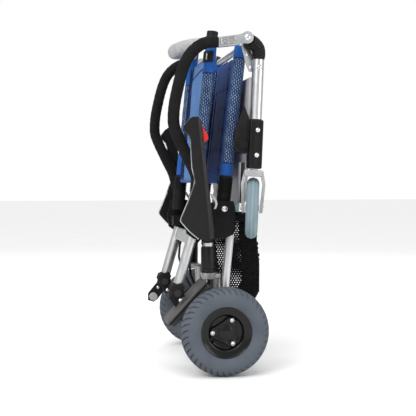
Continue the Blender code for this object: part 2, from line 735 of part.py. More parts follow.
def caster_fork(body, side, sign):
    """The bent fork: a crown under the housing and two legs that straddle the wheel."""
    top, bottom, toe = -0.0040, -0.0215, -0.126
    crown = block("crown", (-0.020, -0.027, bottom), (0.020, 0.027, top), bevel=0.003)
    stem = rod("stem", (0, 0, top - 0.002), (0, 0, -0.0014), 0.012, 14)
    slope = CASTER_TRAIL / (top + CASTER_DROP)
    slant = Matrix.Identity(4)
    slant[0][2] = -slope
    slant[0][3] = slope * top
    frame = caster_frame(sign)
    shapes = [crown, stem]
    for across in (1, -1):
        outline = [
            (0.020, top - 0.001), (0.027, top - 0.001), (0.035, -0.043), (0.030, toe),
            (0.021, toe), (0.026, -0.043), (0.020, bottom + 0.0015),
        ]
        leg = slab("fork_leg", [(across * a, z) for a, z in outline], -0.013, 0.013)
        leg.data.transform(slant @ Matrix.Rotation(math.pi / 2, 4, "Z") @ leg.matrix_world)
        leg.matrix_world = Matrix.Identity(4)
        shapes.append(leg)
    for shape in shapes:
        shape.matrix_world = frame @ shape.matrix_basis
    fused(f"caster_fork_{side}", "satin_aluminium", body, shapes)


def caster_wheel(body, side, sign):
    half, rim = CASTER_WIDTH / 2, 0.056
    tread = [
        (rim + 0.0004, half - 0.006), (rim + 0.010, half - 0.001), (rim + 0.020, half - 0.002),
        (CASTER_RADIUS - 0.004, half - 0.008),
    ]
    lower = [(r, -h) for r, h in reversed(tread)]
    frame = Matrix.Translation(caster_centre(sign)) @ caster_frame(sign).to_3x3().to_4x4()
    frame = frame @ Matrix.Rotation(math.pi / 2, 4, "X")
    tyre = turned(f"caster_tyre_{side}", tread + [(CASTER_RADIUS, 0)] + lower, frame, 30, True)
    place(tyre, "caster_tyre", body)
    profile = [
        (0, 0.0195), (0.010, 0.0195), (0.012, 0.014), (0.045, 0.006), (0.050, 0.012), (rim, 0.013),
        (rim, -0.013), (0.050, -0.012), (0.045, -0.006), (0.012, -0.014), (0.010, -0.0195),
        (0, -0.0195),
    ]
    place(turned(f"caster_hub_{side}", profile, frame, 24), "black_plastic", body)


# ------------------------------------------------------------------- assembly


def build_chair():
    chassis = pivot("chassis", 0, 0, 0)
    axle_beam(chassis)
    carrier(chassis)
    battery(chassis)
    basket(chassis)
    parking_stand(pivot("stand_axis", AXLE_X, 0, DRIVE_RADIUS, chassis))
    seat(pivot("seat_axis", SEAT_AXIS[0], 0, SEAT_AXIS[1], chassis))
    back_body = pivot("back_axis", BACK_AXIS[0], 0, BACK_AXIS[1], chassis)
    backrest(back_body)
    push_handle(back_body)
    arms = pivot("arm_axis", ARM_AXIS[0], 0, ARM_AXIS[1], chassis)
    legs = pivot("knee_axis", KNEE_AXIS[0], 0, KNEE_AXIS[1], arms)
    calf_panel(legs)
    footplate(pivot("footplate_axis", FOOTPLATE_AXIS[0], 0, FOOTPLATE_AXIS[1], legs))
    for side, sign in SIDES:
        rear_leg(chassis, side, sign)
        gearbox(chassis, side, sign)
        drive_motor(chassis, side, sign)
        motor_cable(chassis, side, sign)
        hinge_casting(chassis, side, sign)
        rear_knuckle(chassis, side, sign)
        y = sign * TRACK_HALF
        drive_wheel(pivot(f"drive_axis_{side}", AXLE_X, y, DRIVE_RADIUS, chassis), side, sign)
        arm_loop(arms, side, sign)
        arm_bar(arms, side, sign)
        side_panel(arms, side, sign)
        release_tab(pivot(f"tab_axis_{side}", TAB_AXIS[0], y, TAB_AXIS[1], arms), side, sign)
        lock_hook(pivot(f"hook_axis_{side}", HOOK_AXIS[0], y, HOOK_AXIS[1], arms), side, sign)
        front_leg(legs, side, sign)
        leg_elbow(legs, side, sign)
        caster_housing(legs, side, sign)
        stem = pivot(f"swivel_axis_{side}", *caster_frame(sign).translation, legs)
        caster_fork(stem, side, sign)
        spin = pivot(f"caster_axis_{side}", *caster_centre(sign), stem)
        caster_wheel(spin, side, sign)
    chassis.location.x = FRAME_SHIFT_X


build_chair()
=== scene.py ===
"""The looks of the folded transport wheelchair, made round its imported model.

Everything is in metres in the model's frame: +X is the way the user faces, +Y the user's left and
+Z up. Shapes lie on one side plan, whose X origin is 28 mm behind the wheel axle; spot() turns a
plan point into a point of the frame.
"""

import json
import math

import bmesh
import bpy
import numpy as np
from mathutils import Matrix, Vector, noise


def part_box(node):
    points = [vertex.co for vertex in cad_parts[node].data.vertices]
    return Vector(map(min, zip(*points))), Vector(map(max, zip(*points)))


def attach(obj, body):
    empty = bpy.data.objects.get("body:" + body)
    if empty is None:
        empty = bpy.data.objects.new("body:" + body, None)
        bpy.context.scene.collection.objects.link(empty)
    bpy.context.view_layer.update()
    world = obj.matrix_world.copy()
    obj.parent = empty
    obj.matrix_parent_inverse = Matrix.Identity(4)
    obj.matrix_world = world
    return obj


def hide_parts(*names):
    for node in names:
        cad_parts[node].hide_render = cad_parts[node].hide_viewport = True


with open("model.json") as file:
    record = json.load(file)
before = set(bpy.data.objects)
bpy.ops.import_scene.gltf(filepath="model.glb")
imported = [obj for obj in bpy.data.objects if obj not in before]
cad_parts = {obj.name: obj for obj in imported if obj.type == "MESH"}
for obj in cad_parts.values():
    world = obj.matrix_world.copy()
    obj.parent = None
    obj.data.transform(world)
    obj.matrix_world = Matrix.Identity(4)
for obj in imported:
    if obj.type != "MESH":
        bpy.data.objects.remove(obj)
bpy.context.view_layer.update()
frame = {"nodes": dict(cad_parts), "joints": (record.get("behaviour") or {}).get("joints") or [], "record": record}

NODES = frame["nodes"]
PIVOT = {joint["name"]: Vector(joint["pos_m"]) for joint in frame["joints"]}
BODIES = frame["record"]["behaviour"]["bodies"]
BODY_OF = {node: body for body, nodes in BODIES.items() for node in nodes}
SLOT_OF = {row["node"]: row["material_slot"] for row in frame["record"]["subparts"]}
SIDES = (("left", 1), ("right", -1))

AXLE = PIVOT["stand_pivot"]
PLAN_X = AXLE.x - 0.028
FRAME_Y = 0.172
ARM_Y = abs(PIVOT["caster_swivel_left"].y)


def spot(x, y, z):
    """A point of the frame, from its place on the side plan."""
    return Vector((PLAN_X + x, y, z))


# ---- materials


class Surface:
    """A Principled material, and the nodes that vary its colour, gloss and relief."""

    def __init__(self, name, color, roughness, metallic=0.0, **sockets):
        self.material = bpy.data.materials.new(name)
        self.material.use_nodes = True
        self.tree = self.material.node_tree
        self.shader = self.tree.nodes["Principled BSDF"]
        self.color = color
        self.shader.inputs["Base Color"].default_value = (*color, 1)
        self.shader.inputs["Roughness"].default_value = roughness
        self.shader.inputs["Metallic"].default_value = metallic
        for socket, value in sockets.items():
            self.shader.inputs[socket.replace("_", " ")].default_value = value

    def add(self, kind, **inputs):
        """A node; inputs are values or the sockets that feed it, by socket name or number."""
        node = self.tree.nodes.new(kind)
        for name, value in inputs.items():
            socket = node.inputs[int(name[1:]) if name[0] == "i" and name[1:].isdigit() else name]
            if isinstance(value, bpy.types.NodeSocket):
                self.tree.links.new(value, socket)
            else:
                socket.default_value = value
        return node

    def place(self, stretch=(1, 1, 1), uv=False):
        """Coordinates in metres on the piece, or along its own grid of UVs."""
        source = self.add("ShaderNodeTexCoord").outputs["UV" if uv else "Object"]
        return self.add("ShaderNodeMapping", Vector=source, Scale=stretch).outputs[0]

    def noise(self, scale, detail=4, place=None):
        place = place or self.place()
        return self.add("ShaderNodeTexNoise", Vector=place, Scale=scale, Detail=detail).outputs[0]

    def cells(self, scale, place=None):
        place = place or self.place()
        return self.add("ShaderNodeTexVoronoi", Vector=place, Scale=scale).outputs["Distance"]

    def calc(self, operation, first, second=0.0):
        node = self.add("ShaderNodeMath", i0=first, i1=second)
        node.operation = operation
        return node.outputs[0]

    def span(self, value, low, high, to_low=0.0, to_high=1.0):
        node = self.add(
            "ShaderNodeMapRange", i0=value, i1=low, i2=high, i3=to_low, i4=to_high
        )
        return node.outputs[0]

    def mix(self, share, first, second):
        node = self.tree.nodes.new("ShaderNodeMix")
        node.data_type = "RGBA"
        for number, value in ((0, share), (6, first), (7, second)):
            if isinstance(value, bpy.types.NodeSocket):
                self.tree.links.new(value, node.inputs[number])
            else:
                node.inputs[number].default_value = value if number == 0 else (*value, 1)
        return node.outputs[2]

    def colored(self, socket):
        self.tree.links.new(socket, self.shader.inputs["Base Color"])
        return self

    def mottled(self, amount, scale, detail=4):
        """Colour that drifts lighter and darker by this share."""
        dark = [c * (1 - amount) for c in self.color]
        light = [min(1, c * (1 + amount)) for c in self.color]
        share = self.span(self.noise(scale, detail), 0.3, 0.7)
        return self.colored(self.mix(share, dark, light))

    def worn(self, low, high, scale):
        """Roughness that drifts between two values."""
        gloss = self.span(self.noise(scale), 0.3, 0.7, low, high)
        self.tree.links.new(gloss, self.shader.inputs["Roughness"])
        return self

    def relief(self, height, depth):
        """Bump of this depth in metres, over any bump that is there already."""
        bump = self.add("ShaderNodeBump", Height=height, Distance=depth)
        normal = self.shader.inputs["Normal"]
        if normal.is_linked:
            self.tree.links.new(normal.links[0].from_socket, bump.inputs["Normal"])
        self.tree.links.new(bump.outputs[0], normal)
        return self

    def threads(self, pitch, place):
        """A plain weave's height: warp and weft that cross at this pitch."""
        parts = self.add("ShaderNodeSeparateXYZ", Vector=place)
        turns = math.pi / pitch
        warp = self.calc("SINE", self.calc("MULTIPLY", parts.outputs[0], turns))
        weft = self.calc("SINE", self.calc("MULTIPLY", parts.outputs[1], turns))
        return self.calc("ABSOLUTE", self.calc("MULTIPLY", warp, weft))


def metal(name, color, roughness, grain=900):
    """Satin metal whose fine grain runs up the tubes."""
    made = Surface(name, color, roughness, 1.0)
    brushed = made.noise(grain, 2, made.place((1, 1, 0.06)))
    made.relief(brushed, 0.00004)
    return made.mottled(0.05, 14).worn(roughness * 0.8, roughness * 1.3, 30)


def plastic(name, color, roughness, grain_depth=0.00012, shine=0.35, drift=0.18, **sockets):
    """Moulded plastic with a fine spark-eroded grain."""
    made = Surface(name, color, roughness, Specular_IOR_Level=shine, **sockets)
    made.relief(made.cells(900), grain_depth)
    return made.mottled(drift, 22).worn(roughness * 0.85, roughness * 1.2, 40)


def cloth(name, color, thread=0.0011, uv=False):
    """Plain woven nylon with a soft sheen."""
    made = Surface(name, color, 0.8, Sheen_Weight=0.06, Sheen_Roughness=0.4, Specular_IOR_Level=0.2)
    # The slings face X, so their weave is drawn over Y and Z.
    turned = made.add("ShaderNodeMapping", Vector=made.place(), Rotation=(0, math.pi / 2, 0))
    grid = made.place(uv=True) if uv else turned.outputs[0]
    made.relief(made.threads(thread, grid), 0.00018)
    return made.mottled(0.14, 16)


def sleeve_cloth():
    """The spacer mesh on the side tubes: pale staggered dashes on navy."""
    made = Surface("sleeve_mesh", (0.01, 0.032, 0.102), 0.75, Specular_IOR_Level=0.2)
    column_pitch, row_pitch = 0.0056, 0.0098
    parts = made.add("ShaderNodeSeparateXYZ", Vector=made.place(uv=True))
    across = made.calc("DIVIDE", parts.outputs[0], column_pitch)
    stagger = made.calc("MULTIPLY", made.calc("FLOOR", across), 0.5)
    up = made.calc("ADD", made.calc("DIVIDE", parts.outputs[1], row_pitch), stagger)
    u = made.calc("ABSOLUTE", made.calc("SUBTRACT", made.calc("FRACT", across), 0.5))
    v = made.calc("ABSOLUTE", made.calc("SUBTRACT", made.calc("FRACT", up), 0.5))
    narrow = made.span(u, 0.1, 0.22, 1.0, 0.0)
    long = made.span(v, 0.26, 0.36, 1.0, 0.0)
    dash = made.calc("MULTIPLY", narrow, long)
    bright = made.span(made.noise(60), 0.35, 0.65, 0.35, 1.0)
    shown = made.calc("MULTIPLY", dash, bright)
    drift = made.span(made.noise(30), 0.3, 0.7)
    base = made.mix(drift, (0.006, 0.022, 0.08), (0.013, 0.042, 0.135))
    made.colored(made.mix(shown, base, (0.36, 0.46, 0.56)))
    made.relief(made.threads(0.0009, made.place(uv=True)), 0.00012)
    made.relief(dash, 0.0004)
    return made


def foam_rubber():
    """The black foam of the arm loops."""
    made = Surface("foam_rubber", (0.0075, 0.0075, 0.008), 0.88, Specular_IOR_Level=0.15)
    made.relief(made.cells(1500), 0.00022)
    return made.relief(made.noise(160), 0.0003).mottled(0.25, 40)


def tyre_rubber(name, color, dusty):
    """Rubber that is dusty in patches."""
    made = Surface(name, color, 0.78, Specular_IOR_Level=0.2)
    made.relief(made.noise(700), 0.00012)
    dust = made.span(made.noise(18, 6), 0.35, 0.75)
    made.colored(made.mix(dust, color, dusty))
    return made.worn(0.68, 0.88, 30)


def grip_plastic():
    """The push handle's pale plastic, with its moulded weave."""
    made = Surface("grip_texture", (0.36, 0.365, 0.372), 0.62)
    turned = made.add("ShaderNodeMapping", Vector=made.place(), Rotation=(0.6, 0.7, 0.8))
    made.relief(made.threads(0.0042, turned.outputs[0]), 0.001)
    return made.mottled(0.12, 60)


def knit_net():
    """The matt cord of the basket."""
    made = Surface("net_cord", (0.01, 0.01, 0.011), 0.9, Specular_IOR_Level=0.1)
    return made.relief(made.noise(1200), 0.0001).mottled(0.3, 60)


def all_surfaces():
    made = {
        "satin_aluminium": metal("satin_aluminium_tube", (0.56, 0.565, 0.575), 0.34),
        "cast_aluminium": metal("cast_aluminium_grey", (0.44, 0.44, 0.445), 0.5, 240),
        "bright_steel": metal("bright_steel", (0.72, 0.72, 0.73), 0.2),
        "black_plastic": plastic("black_moulding", (0.0058, 0.0058, 0.0062), 0.48, shine=0.2),
        "panel_plastic": plastic("panel_moulding", (0.005, 0.0048, 0.005), 0.36, shine=0.26),
        "cover_plastic": plastic("soft_cover", (0.0055, 0.0055, 0.0058), 0.62, shine=0.16),
        "battery_case": plastic("battery_moulding", (0.026, 0.025, 0.024), 0.5),
        # The lid's paler grey is painted light: it stands for the lit upper face of the dark pack.
        "battery_lid_painted_light": plastic("battery_upper_painted_light", (0.068, 0.065, 0.062), 0.52),
        "grey_panel": plastic("grey_board", (0.44, 0.44, 0.45), 0.55, drift=0.05),
        "light_plastic": plastic("pale_moulding", (0.46, 0.46, 0.46), 0.42),
        "red_plastic": plastic("red_moulding", (0.56, 0.013, 0.01), 0.34, 0.00004),
        "rim_black": plastic("rim_enamel", (0.004, 0.004, 0.0045), 0.24, 0.00005, 0.22, Coat_Weight=0.12),
        "light_grip": grip_plastic(),
        "foam": foam_rubber(),
        "drive_tyre": tyre_rubber("drive_rubber", (0.07, 0.082, 0.1), (0.092, 0.104, 0.122)),
        # The groove rubber is darker only as painted shade in the tread's recesses; its dust patches are real.
        "painted_groove_shade": tyre_rubber("painted_groove_shade", (0.03, 0.035, 0.043), (0.044, 0.05, 0.059)),
        "caster_tyre": tyre_rubber("caster_rubber", (0.17, 0.24, 0.27), (0.23, 0.3, 0.33)),
        "mark_grey": plastic("mark_grey", (0.16, 0.16, 0.165), 0.5),
        "mesh_black": knit_net(),
        "sleeve": sleeve_cloth(),
        "bright_band": cloth("bright_blue_weave", (0.014, 0.088, 0.33), uv=True),
        "seat_cloth": cloth("navy_weave", (0.0065, 0.045, 0.19)),
        # The brighter blue of the seat band is a painted highlight along the padded channels.
        "seat_band_painted_highlight": cloth("blue_weave_painted_highlight", (0.0085, 0.068, 0.275)),
        "back_cloth": cloth("light_blue_weave", (0.055, 0.155, 0.37)),
        "back_mesh": cloth("mid_blue_mesh", (0.02, 0.07, 0.24), 0.0022),
        "piping": cloth("navy_piping", (0.006, 0.016, 0.06)),
        "webbing": cloth("black_webbing", (0.01, 0.01, 0.012), 0.0016),
    }
    return {name: surface.material for name, surface in made.items()}


SURFACE = all_surfaces()


# ---- mesh tools


def shown(name, mesh, surface, body, stands_for=(), slot=None):
    """Puts a mesh in the scene as a piece that rides on a body."""
    piece = bpy.data.objects.new(name, mesh)
    bpy.context.scene.collection.objects.link(piece)
    mesh.materials.clear()
    for each in [surface] if isinstance(surface, str) else surface:
        mesh.materials.append(SURFACE[each])
    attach(piece, body)
    if stands_for:
        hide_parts(*stands_for)
    slot or SLOT_OF[(list(stands_for) or [BODIES[body][0]])[0]]
    return piece


def mesh_from(name, shape, angle=40):
    """The mesh of a bmesh, smooth except over edges sharper than this angle."""
    mesh = bpy.data.meshes.new(name)
    bmesh.ops.recalc_face_normals(shape, faces=shape.faces)
    shape.to_mesh(mesh)
    shape.free()
    mesh.shade_smooth()
    mesh.set_sharp_from_angle(angle=math.radians(angle))
    return mesh


def skin(name, rings, closed=False, caps=True, angle=40):
    """A surface through rings of points, with UVs in metres: U round the ring and V along the path."""
    shape = bmesh.new()
    grid = [[shape.verts.new(p) for p in ring] for ring in rings]
    uv = shape.loops.layers.uv.new("grid")
    count = len(grid[0])
    around = [0.0]
    middle = rings[len(rings) // 2]
    for i in range(count):
        around.append(around[-1] + (Vector(middle[(i + 1) % count]) - Vector(middle[i])).length)
    along = [0.0]
    for before, after in zip(rings, rings[1:]):
        along.append(along[-1] + (Vector(after[0]) - Vector(before[0])).length)
    pairs = list(zip(range(len(grid) - 1), range(1, len(grid))))
    if closed:
        pairs.append((len(grid) - 1, 0))
    for a, b in pairs:
        for i in range(count):
            j = (i + 1) % count
            face = shape.faces.new((grid[a][i], grid[a][j], grid[b][j], grid[b][i]))
            far = along[b] if b else along[-1] + along[1]
            spots = ((around[i], along[a]), (around[i + 1], along[a]), (around[i + 1], far), (around[i], far))
            for loop, place in zip(face.loops, spots):
                loop[uv].uv = place
    if caps and not closed:
        shape.faces.new(list(reversed(grid[0])))
        shape.faces.new(grid[-1])
    return mesh_from(name, shape, angle)


def lathe(name, profile, centre, axis, steps=96, angle=40, bulge=None):
    """A mesh turned from (radius, height) points. bulge(turn, radius, height) moves a point out."""
    turn_to = Vector(axis).to_track_quat("Z", "Y").to_matrix()
    centre = Vector(centre)
    rings = []
    for i in range(steps):
        turn = 2 * math.pi * i / steps
        ring = []
        for radius, height in profile:
            out = radius + (bulge(turn, radius, height) if bulge else 0)
            ring.append(centre + turn_to @ Vector((out * math.cos(turn), out * math.sin(turn), height)))
        rings.append(ring)
    shape = bmesh.new()
    grid = [[shape.verts.new(p) for p in ring] for ring in rings]
    for a in range(steps):
        b = (a + 1) % steps
        for i in range(len(profile) - 1):
            shape.faces.new((grid[a][i], grid[b][i], grid[b][i + 1], grid[a][i + 1]))
        if profile[0][0] > 0 and profile[-1][0] > 0:
            shape.faces.new((grid[a][-1], grid[b][-1], grid[b][0], grid[a][0]))
    bmesh.ops.remove_doubles(shape, verts=shape.verts, dist=1e-6)
    return mesh_from(name, shape, angle)


def curve_through(points, count):
    """Evenly spread points of the smooth curve through these ones."""
    points = [Vector(p) for p in points]
    ends = [2 * points[0] - points[1]] + points + [2 * points[-1] - points[-2]]
    dense = []
    for a, b, c, d in zip(ends, ends[1:], ends[2:], ends[3:]):
        for step in range(16):
            t = step / 16
            square, cube = 2 * a - 5 * b + 4 * c - d, 3 * b - a - 3 * c + d
            dense.append(0.5 * (2 * b + (c - a) * t + square * t**2 + cube * t**3))
    dense.append(points[-1])
    return spread(dense, count)


def spread(points, count):
    """The same line cut into equal steps."""
    cells = np.array([tuple(p) for p in points])
    reach = np.concatenate([[0], np.cumsum(np.linalg.norm(np.diff(cells, axis=0), axis=1))])
    places = np.linspace(0, reach[-1], count)
    return [Vector([np.interp(t, reach, cells[:, k]) for k in range(3)]) for t in places]


def sweep(path, section, up=(0, 1, 0)):
    """Rings along a path, kept square to it. section(share) lists each ring's (across, up) offsets."""
    rings = []
    up = Vector(up)
    for i, at in enumerate(path):
        ahead = (path[min(i + 1, len(path) - 1)] - path[max(i - 1, 0)]).normalized()
        across = ahead.cross(up).normalized()
        square = across.cross(ahead).normalized()
        rings.append([at + across * a + square * b for a, b in section(i / (len(path) - 1))])
    return rings


def circle(radius, sides=40, tall=None):
    """The offsets of a round or oval section."""
    tall = tall or radius
    turns = [2 * math.pi * i / sides for i in range(sides)]
    return [(radius * math.cos(t), tall * math.sin(t)) for t in turns]


def cord(name, path, radius, sides, up=(0, 1, 0), tall=None):
    """A round or oval strip of even thickness."""
    return skin(name, sweep(path, lambda share: circle(radius, sides, tall), up))


def hose(name, path, radius, surface, body, slot, sides=10, up=(0, 1, 0)):
    """A plain round cord, seam or cable with softly closed ends."""
    steps = len(path)
    ends = {0: 0.35, steps - 1: 0.35}
    rings = sweep(
        path, lambda share: circle(radius * ends.get(round(share * (steps - 1)), 1.0), sides), up
    )
    return shown(name, skin(name, rings), surface, body, (), slot)


def centre_line(node):
    """The two ends of a straight round CAD piece, lower end first."""
    points = np.array([v.co for v in NODES[node].data.vertices])
    points = np.unique(np.round(points, 6), axis=0)
    middle = points.mean(axis=0)
    way = np.linalg.svd(points - middle)[2][0]
    reach = (points - middle) @ way
    ends = [Vector(middle + way * reach.min()), Vector(middle + way * reach.max())]
    return sorted(ends, key=lambda p: (round(p.z, 4), p.y))


def round_bar(node, radius, surface=None, sides=48):
    """A straight tube in place of its CAD piece, with broken edges at its ends."""
    low, high = centre_line(node)
    way = (high - low).normalized()
    length, edge = (high - low).length, min(0.0012, radius / 6)
    profile = [(0, 0), (radius - edge, 0), (radius, edge)]
    profile += [(radius, length - edge), (radius - edge, length), (0, length)]
    mesh = lathe(node + "_tube", profile, low, way, sides, 30)
    return shown(node + "_tube", mesh, surface or SLOT_OF[node], BODY_OF[node], [node])


def cad_shape(*nodes):
    """The CAD pieces' own meshes, with their facets joined up into whole faces."""
    shape = bmesh.new()
    for node in nodes:
        shape.from_mesh(NODES[node].data)
    bmesh.ops.remove_doubles(shape, verts=shape.verts, dist=2e-5)
    bmesh.ops.dissolve_limit(shape, angle_limit=math.radians(1), verts=shape.verts, edges=shape.edges)
    return shape


def rounded(node, width, surface=None, name=None, segments=3):
    """The CAD piece with its sharp edges rounded off."""
    name = name or node + "_finished"
    mesh = mesh_from(name, cad_shape(node), 35)
    piece = shown(name, mesh, surface or SLOT_OF[node], BODY_OF[node], [node])
    edge = piece.modifiers.new("edge", "BEVEL")
    edge.width = width
    edge.segments = segments
    edge.limit_method = "ANGLE"
    edge.angle_limit = math.radians(38)
    edge.use_clamp_overlap = True
    shade = piece.modifiers.new("shade", "WEIGHTED_NORMAL")
    shade.keep_sharp = False
    return piece


def joined(name, meshes, surface, body, slot=None, stands_for=()):
    """Several meshes as one piece."""
    shape = bmesh.new()
    for mesh in meshes:
        shape.from_mesh(mesh)
        bpy.data.meshes.remove(mesh)
    mesh = bpy.data.meshes.new(name)
    shape.to_mesh(mesh)
    shape.free()
    mesh.shade_smooth()
    mesh.set_sharp_from_angle(angle=math.radians(40))
    return shown(name, mesh, surface, body, stands_for, slot)


def plate(name, outline, y_from, y_to, edge=0.0008):
    """A flat plate in the side plan, with rounded corners along both of its faces."""
    shape = bmesh.new()
    face = shape.faces.new([shape.verts.new(spot(x, y_from, z)) for x, z in outline])
    moved = bmesh.ops.extrude_face_region(shape, geom=[face])["geom"]
    lifted = [item for item in moved if isinstance(item, bmesh.types.BMVert)]
    bmesh.ops.translate(shape, vec=(0, y_to - y_from, 0), verts=lifted)
    bmesh.ops.recalc_face_normals(shape, faces=shape.faces)
    if edge:
        sharp = [e for e in shape.edges if e.calc_face_angle(0) > math.radians(40)]
        bmesh.ops.bevel(shape, geom=sharp, offset=edge, segments=2, profile=0.6, affect="EDGES")
    return mesh_from(name, shape, 30)


def bolt(at, way, radius, height=0.003, socket=0.45):
    """A domed head with a hexagonal socket, on a thin washer."""
    dome = [(radius * math.cos(a), height * (0.35 + 0.65 * math.sin(a))) for a in np.linspace(0, 1.05, 6)]
    hole = radius * socket
    profile = [(radius * 1.25, -0.001), (radius * 1.25, 0.0006), (radius, 0.0007)] + dome
    profile += [(hole, height), (hole, height * 0.35), (0, height * 0.3)]
    return lathe("head", profile, at, way, 24, 30)


def bolts(name, spots, radius, body, height, slot="satin_aluminium"):
    """A group of like fasteners: (place, direction) for each."""
    heads = [bolt(at, way, radius, height) for at, way in spots]
    return joined(name, heads, "bright_steel", body, slot)


# ---- wheels

LUGS = 40  # slanted lugs round the tyre, mirrored across its middle
LUG_SLANT = 34  # how many lugs they slant by over a metre of width
TREAD_FROM = 0.1065
GROOVE_DEPTH = 0.0042
TYRE_STEPS = 480
HUB_ARMS, HUB_TURN = 3, 62  # the hub plate's arms, and the degrees at which the first one points
BOLT_RING = 0.0378
VALVE_RING, VALVE_TURN = 0.041, 216
SPOKES = 6


def tread_depth(turn, radius, height):
    """How far the tread sinks between its slanted lugs, over the crown and the shoulders."""
    if radius < TREAD_FROM:
        return 0.0
    slant = turn * LUGS / (2 * math.pi) + abs(height) * LUG_SLANT
    across = abs(slant % 1 - 0.5) * 2
    groove = 1 - min(1, max(0, (across - 0.1) / 0.14))
    middle = max(0, min(1, (0.006 - abs(height)) / 0.002))
    fade = min(1, (radius - TREAD_FROM) / 0.006)
    return -GROOVE_DEPTH * fade * max(groove, middle)


def half_ring(points):
    """A profile followed by its own mirror image, for a wheel that is the same on both faces."""
    return points + [(r, -h) for r, h in reversed(points)]


def drive_wheel(side, sign):
    centre, out = PIVOT[f"drive_spin_{side}"], (0, sign, 0)
    body = f"drive_wheel_{side}"
    wall = [
        (0.0722, 0.029), (0.0745, 0.0318), (0.079, 0.0338), (0.084, 0.0362), (0.09, 0.0376),
        (0.096, 0.0379), (0.101, 0.0374), (0.105, 0.0364), (0.109, 0.0348), (0.112, 0.033),
        (0.115, 0.0305), (0.118, 0.0272), (0.1205, 0.0232), (0.1225, 0.019), (0.124, 0.0145),
        (0.125, 0.01), (0.1257, 0.006), (0.1259, 0.004),
    ]
    mesh = lathe(f"{body}_tyre", half_ring(wall), centre, out, TYRE_STEPS, 32, tread_depth)
    shown(f"{body}_tyre", mesh, ["drive_tyre", "painted_groove_shade"], body, [f"drive_tyre_{side}"])
    # Faces sunk between the lugs take the darker rubber: painted shade in the grooves.
    for face in mesh.polygons:
        at = face.center - centre
        height, radius = at.dot(Vector(out)), math.hypot(at.x, at.z)
        plain = np.interp(abs(height), [h for _, h in reversed(wall)], [r for r, _ in reversed(wall)])
        sunk = plain - radius > 0.55 * GROOVE_DEPTH
        if sunk and abs(height) < 0.035 and radius > TREAD_FROM - GROOVE_DEPTH:
            face.material_index = 1
    rim = [
        (0.0, 0.0095), (0.044, 0.0095), (0.0475, 0.0115), (0.049, 0.015), (0.05, 0.0225), (0.052, 0.0245),
        (0.056, 0.025), (0.064, 0.0275), (0.069, 0.0292), (0.0712, 0.0306), (0.0726, 0.03), (0.0722, 0.027),
        (0.0715, 0.0), (0.0722, -0.027), (0.0726, -0.03), (0.0712, -0.0306), (0.064, -0.0275),
        (0.056, -0.025), (0.052, -0.02), (0.05, -0.009), (0.016, -0.009), (0.0158, -0.0265), (0.0, -0.0265),
    ]
    meshes = [lathe("rim", rim, centre, out, 96, 35)]
    meshes.append(hub_plate(centre, sign))
    cap = [(0.0, 0.0196), (0.0185, 0.0196), (0.02, 0.0186), (0.0205, 0.015), (0.0235, 0.015), (0.024, 0.012)]
    meshes.append(lathe("cap", cap + [(0.0, 0.012)], centre, out, 48, 30))
    joined(f"{body}_rim", meshes, "rim_black", body, None, [f"drive_rim_{side}"])
    heads = []
    for number in range(HUB_ARMS):
        turn = math.radians(HUB_TURN + 120 * number)
        at = centre + Vector((BOLT_RING * math.cos(turn), sign * 0.0158, BOLT_RING * math.sin(turn)))
        heads.append((at, out))
    bolts(f"{body}_bolts", heads, 0.0047, body, 0.0045, "rim_black")
    turn = math.radians(VALVE_TURN)
    foot = centre + Vector((VALVE_RING * math.cos(turn), sign * 0.009, VALVE_RING * math.sin(turn)))
    stem = [(0.0, 0.016), (0.0018, 0.0155), (0.0022, 0.013), (0.003, 0.0125), (0.003, 0.004), (0.0048, 0.0)]
    mesh = lathe("valve", stem + [(0, 0)], foot, out, 20, 30)
    shown(f"{body}_valve", mesh, "black_plastic", body, (), "rim_black")


def hub_plate(centre, sign):
    """The three-armed plate that the wheel bolts hold."""
    outline = []
    for step in range(96):
        turn = 2 * math.pi * step / 96
        lobe = 0.5 + 0.5 * math.cos(HUB_ARMS * (turn - math.radians(HUB_TURN)))
        outline.append((turn, 0.03 + 0.0165 * lobe**1.6))
    levels = [(-0.001, 0.0093), (0.0, 0.013), (-0.0015, 0.015), (-0.008, 0.0155), (-0.011, 0.014)]
    rings = []
    for inset, lift in levels:
        ring = [((r + inset) * math.cos(t), sign * lift, (r + inset) * math.sin(t)) for t, r in outline]
        rings.append([centre + Vector(point) for point in ring])
    return skin("plate", rings, angle=30)


def caster_wheel(side):
    body = f"caster_wheel_{side}"
    joint = next(j for j in frame["joints"] if j["name"] == f"caster_spin_{side}")
    centre, out = PIVOT[joint["name"]], Vector(joint["axis"])
    wall = [
        (0.0562, 0.012), (0.058, 0.015), (0.064, 0.0172), (0.07, 0.0179), (0.075, 0.0172),
        (0.0795, 0.0152), (0.083, 0.0126), (0.0855, 0.0096), (0.0868, 0.007), (0.0858, 0.0062),
        (0.0858, 0.0052), (0.0874, 0.0044), (0.0881, 0.002),
    ]
    mesh = lathe(f"{body}_tyre", half_ring(wall), centre, out, 120, 50)
    shown(f"{body}_tyre", mesh, "caster_tyre", body, [f"caster_tyre_{side}"])
    disc = [
        (0.0, 0.0196), (0.0085, 0.0196), (0.01, 0.0188), (0.012, 0.015), (0.015, 0.009), (0.044, 0.0062),
        (0.048, 0.011), (0.052, 0.0124), (0.0561, 0.013),
    ]
    meshes = [lathe("disc", half_ring(disc), centre, out, 96, 35)]
    turn_to = out.to_track_quat("Z", "Y").to_matrix()
    for number in range(SPOKES):
        for face in (1, -1):
            turn = math.radians(60 * number + 15)
            way = turn_to @ Vector((math.cos(turn), math.sin(turn), 0))
            start = centre + way * 0.01 + out * face * 0.0135
            end = centre + way * 0.0475 + out * face * 0.0085
            meshes.append(cord("spoke", spread([start, end], 4), 0.003, 12, out))
    joined(f"{body}_hub", meshes, "black_plastic", body, None, [f"caster_hub_{side}"])


# ---- arm loops and knees

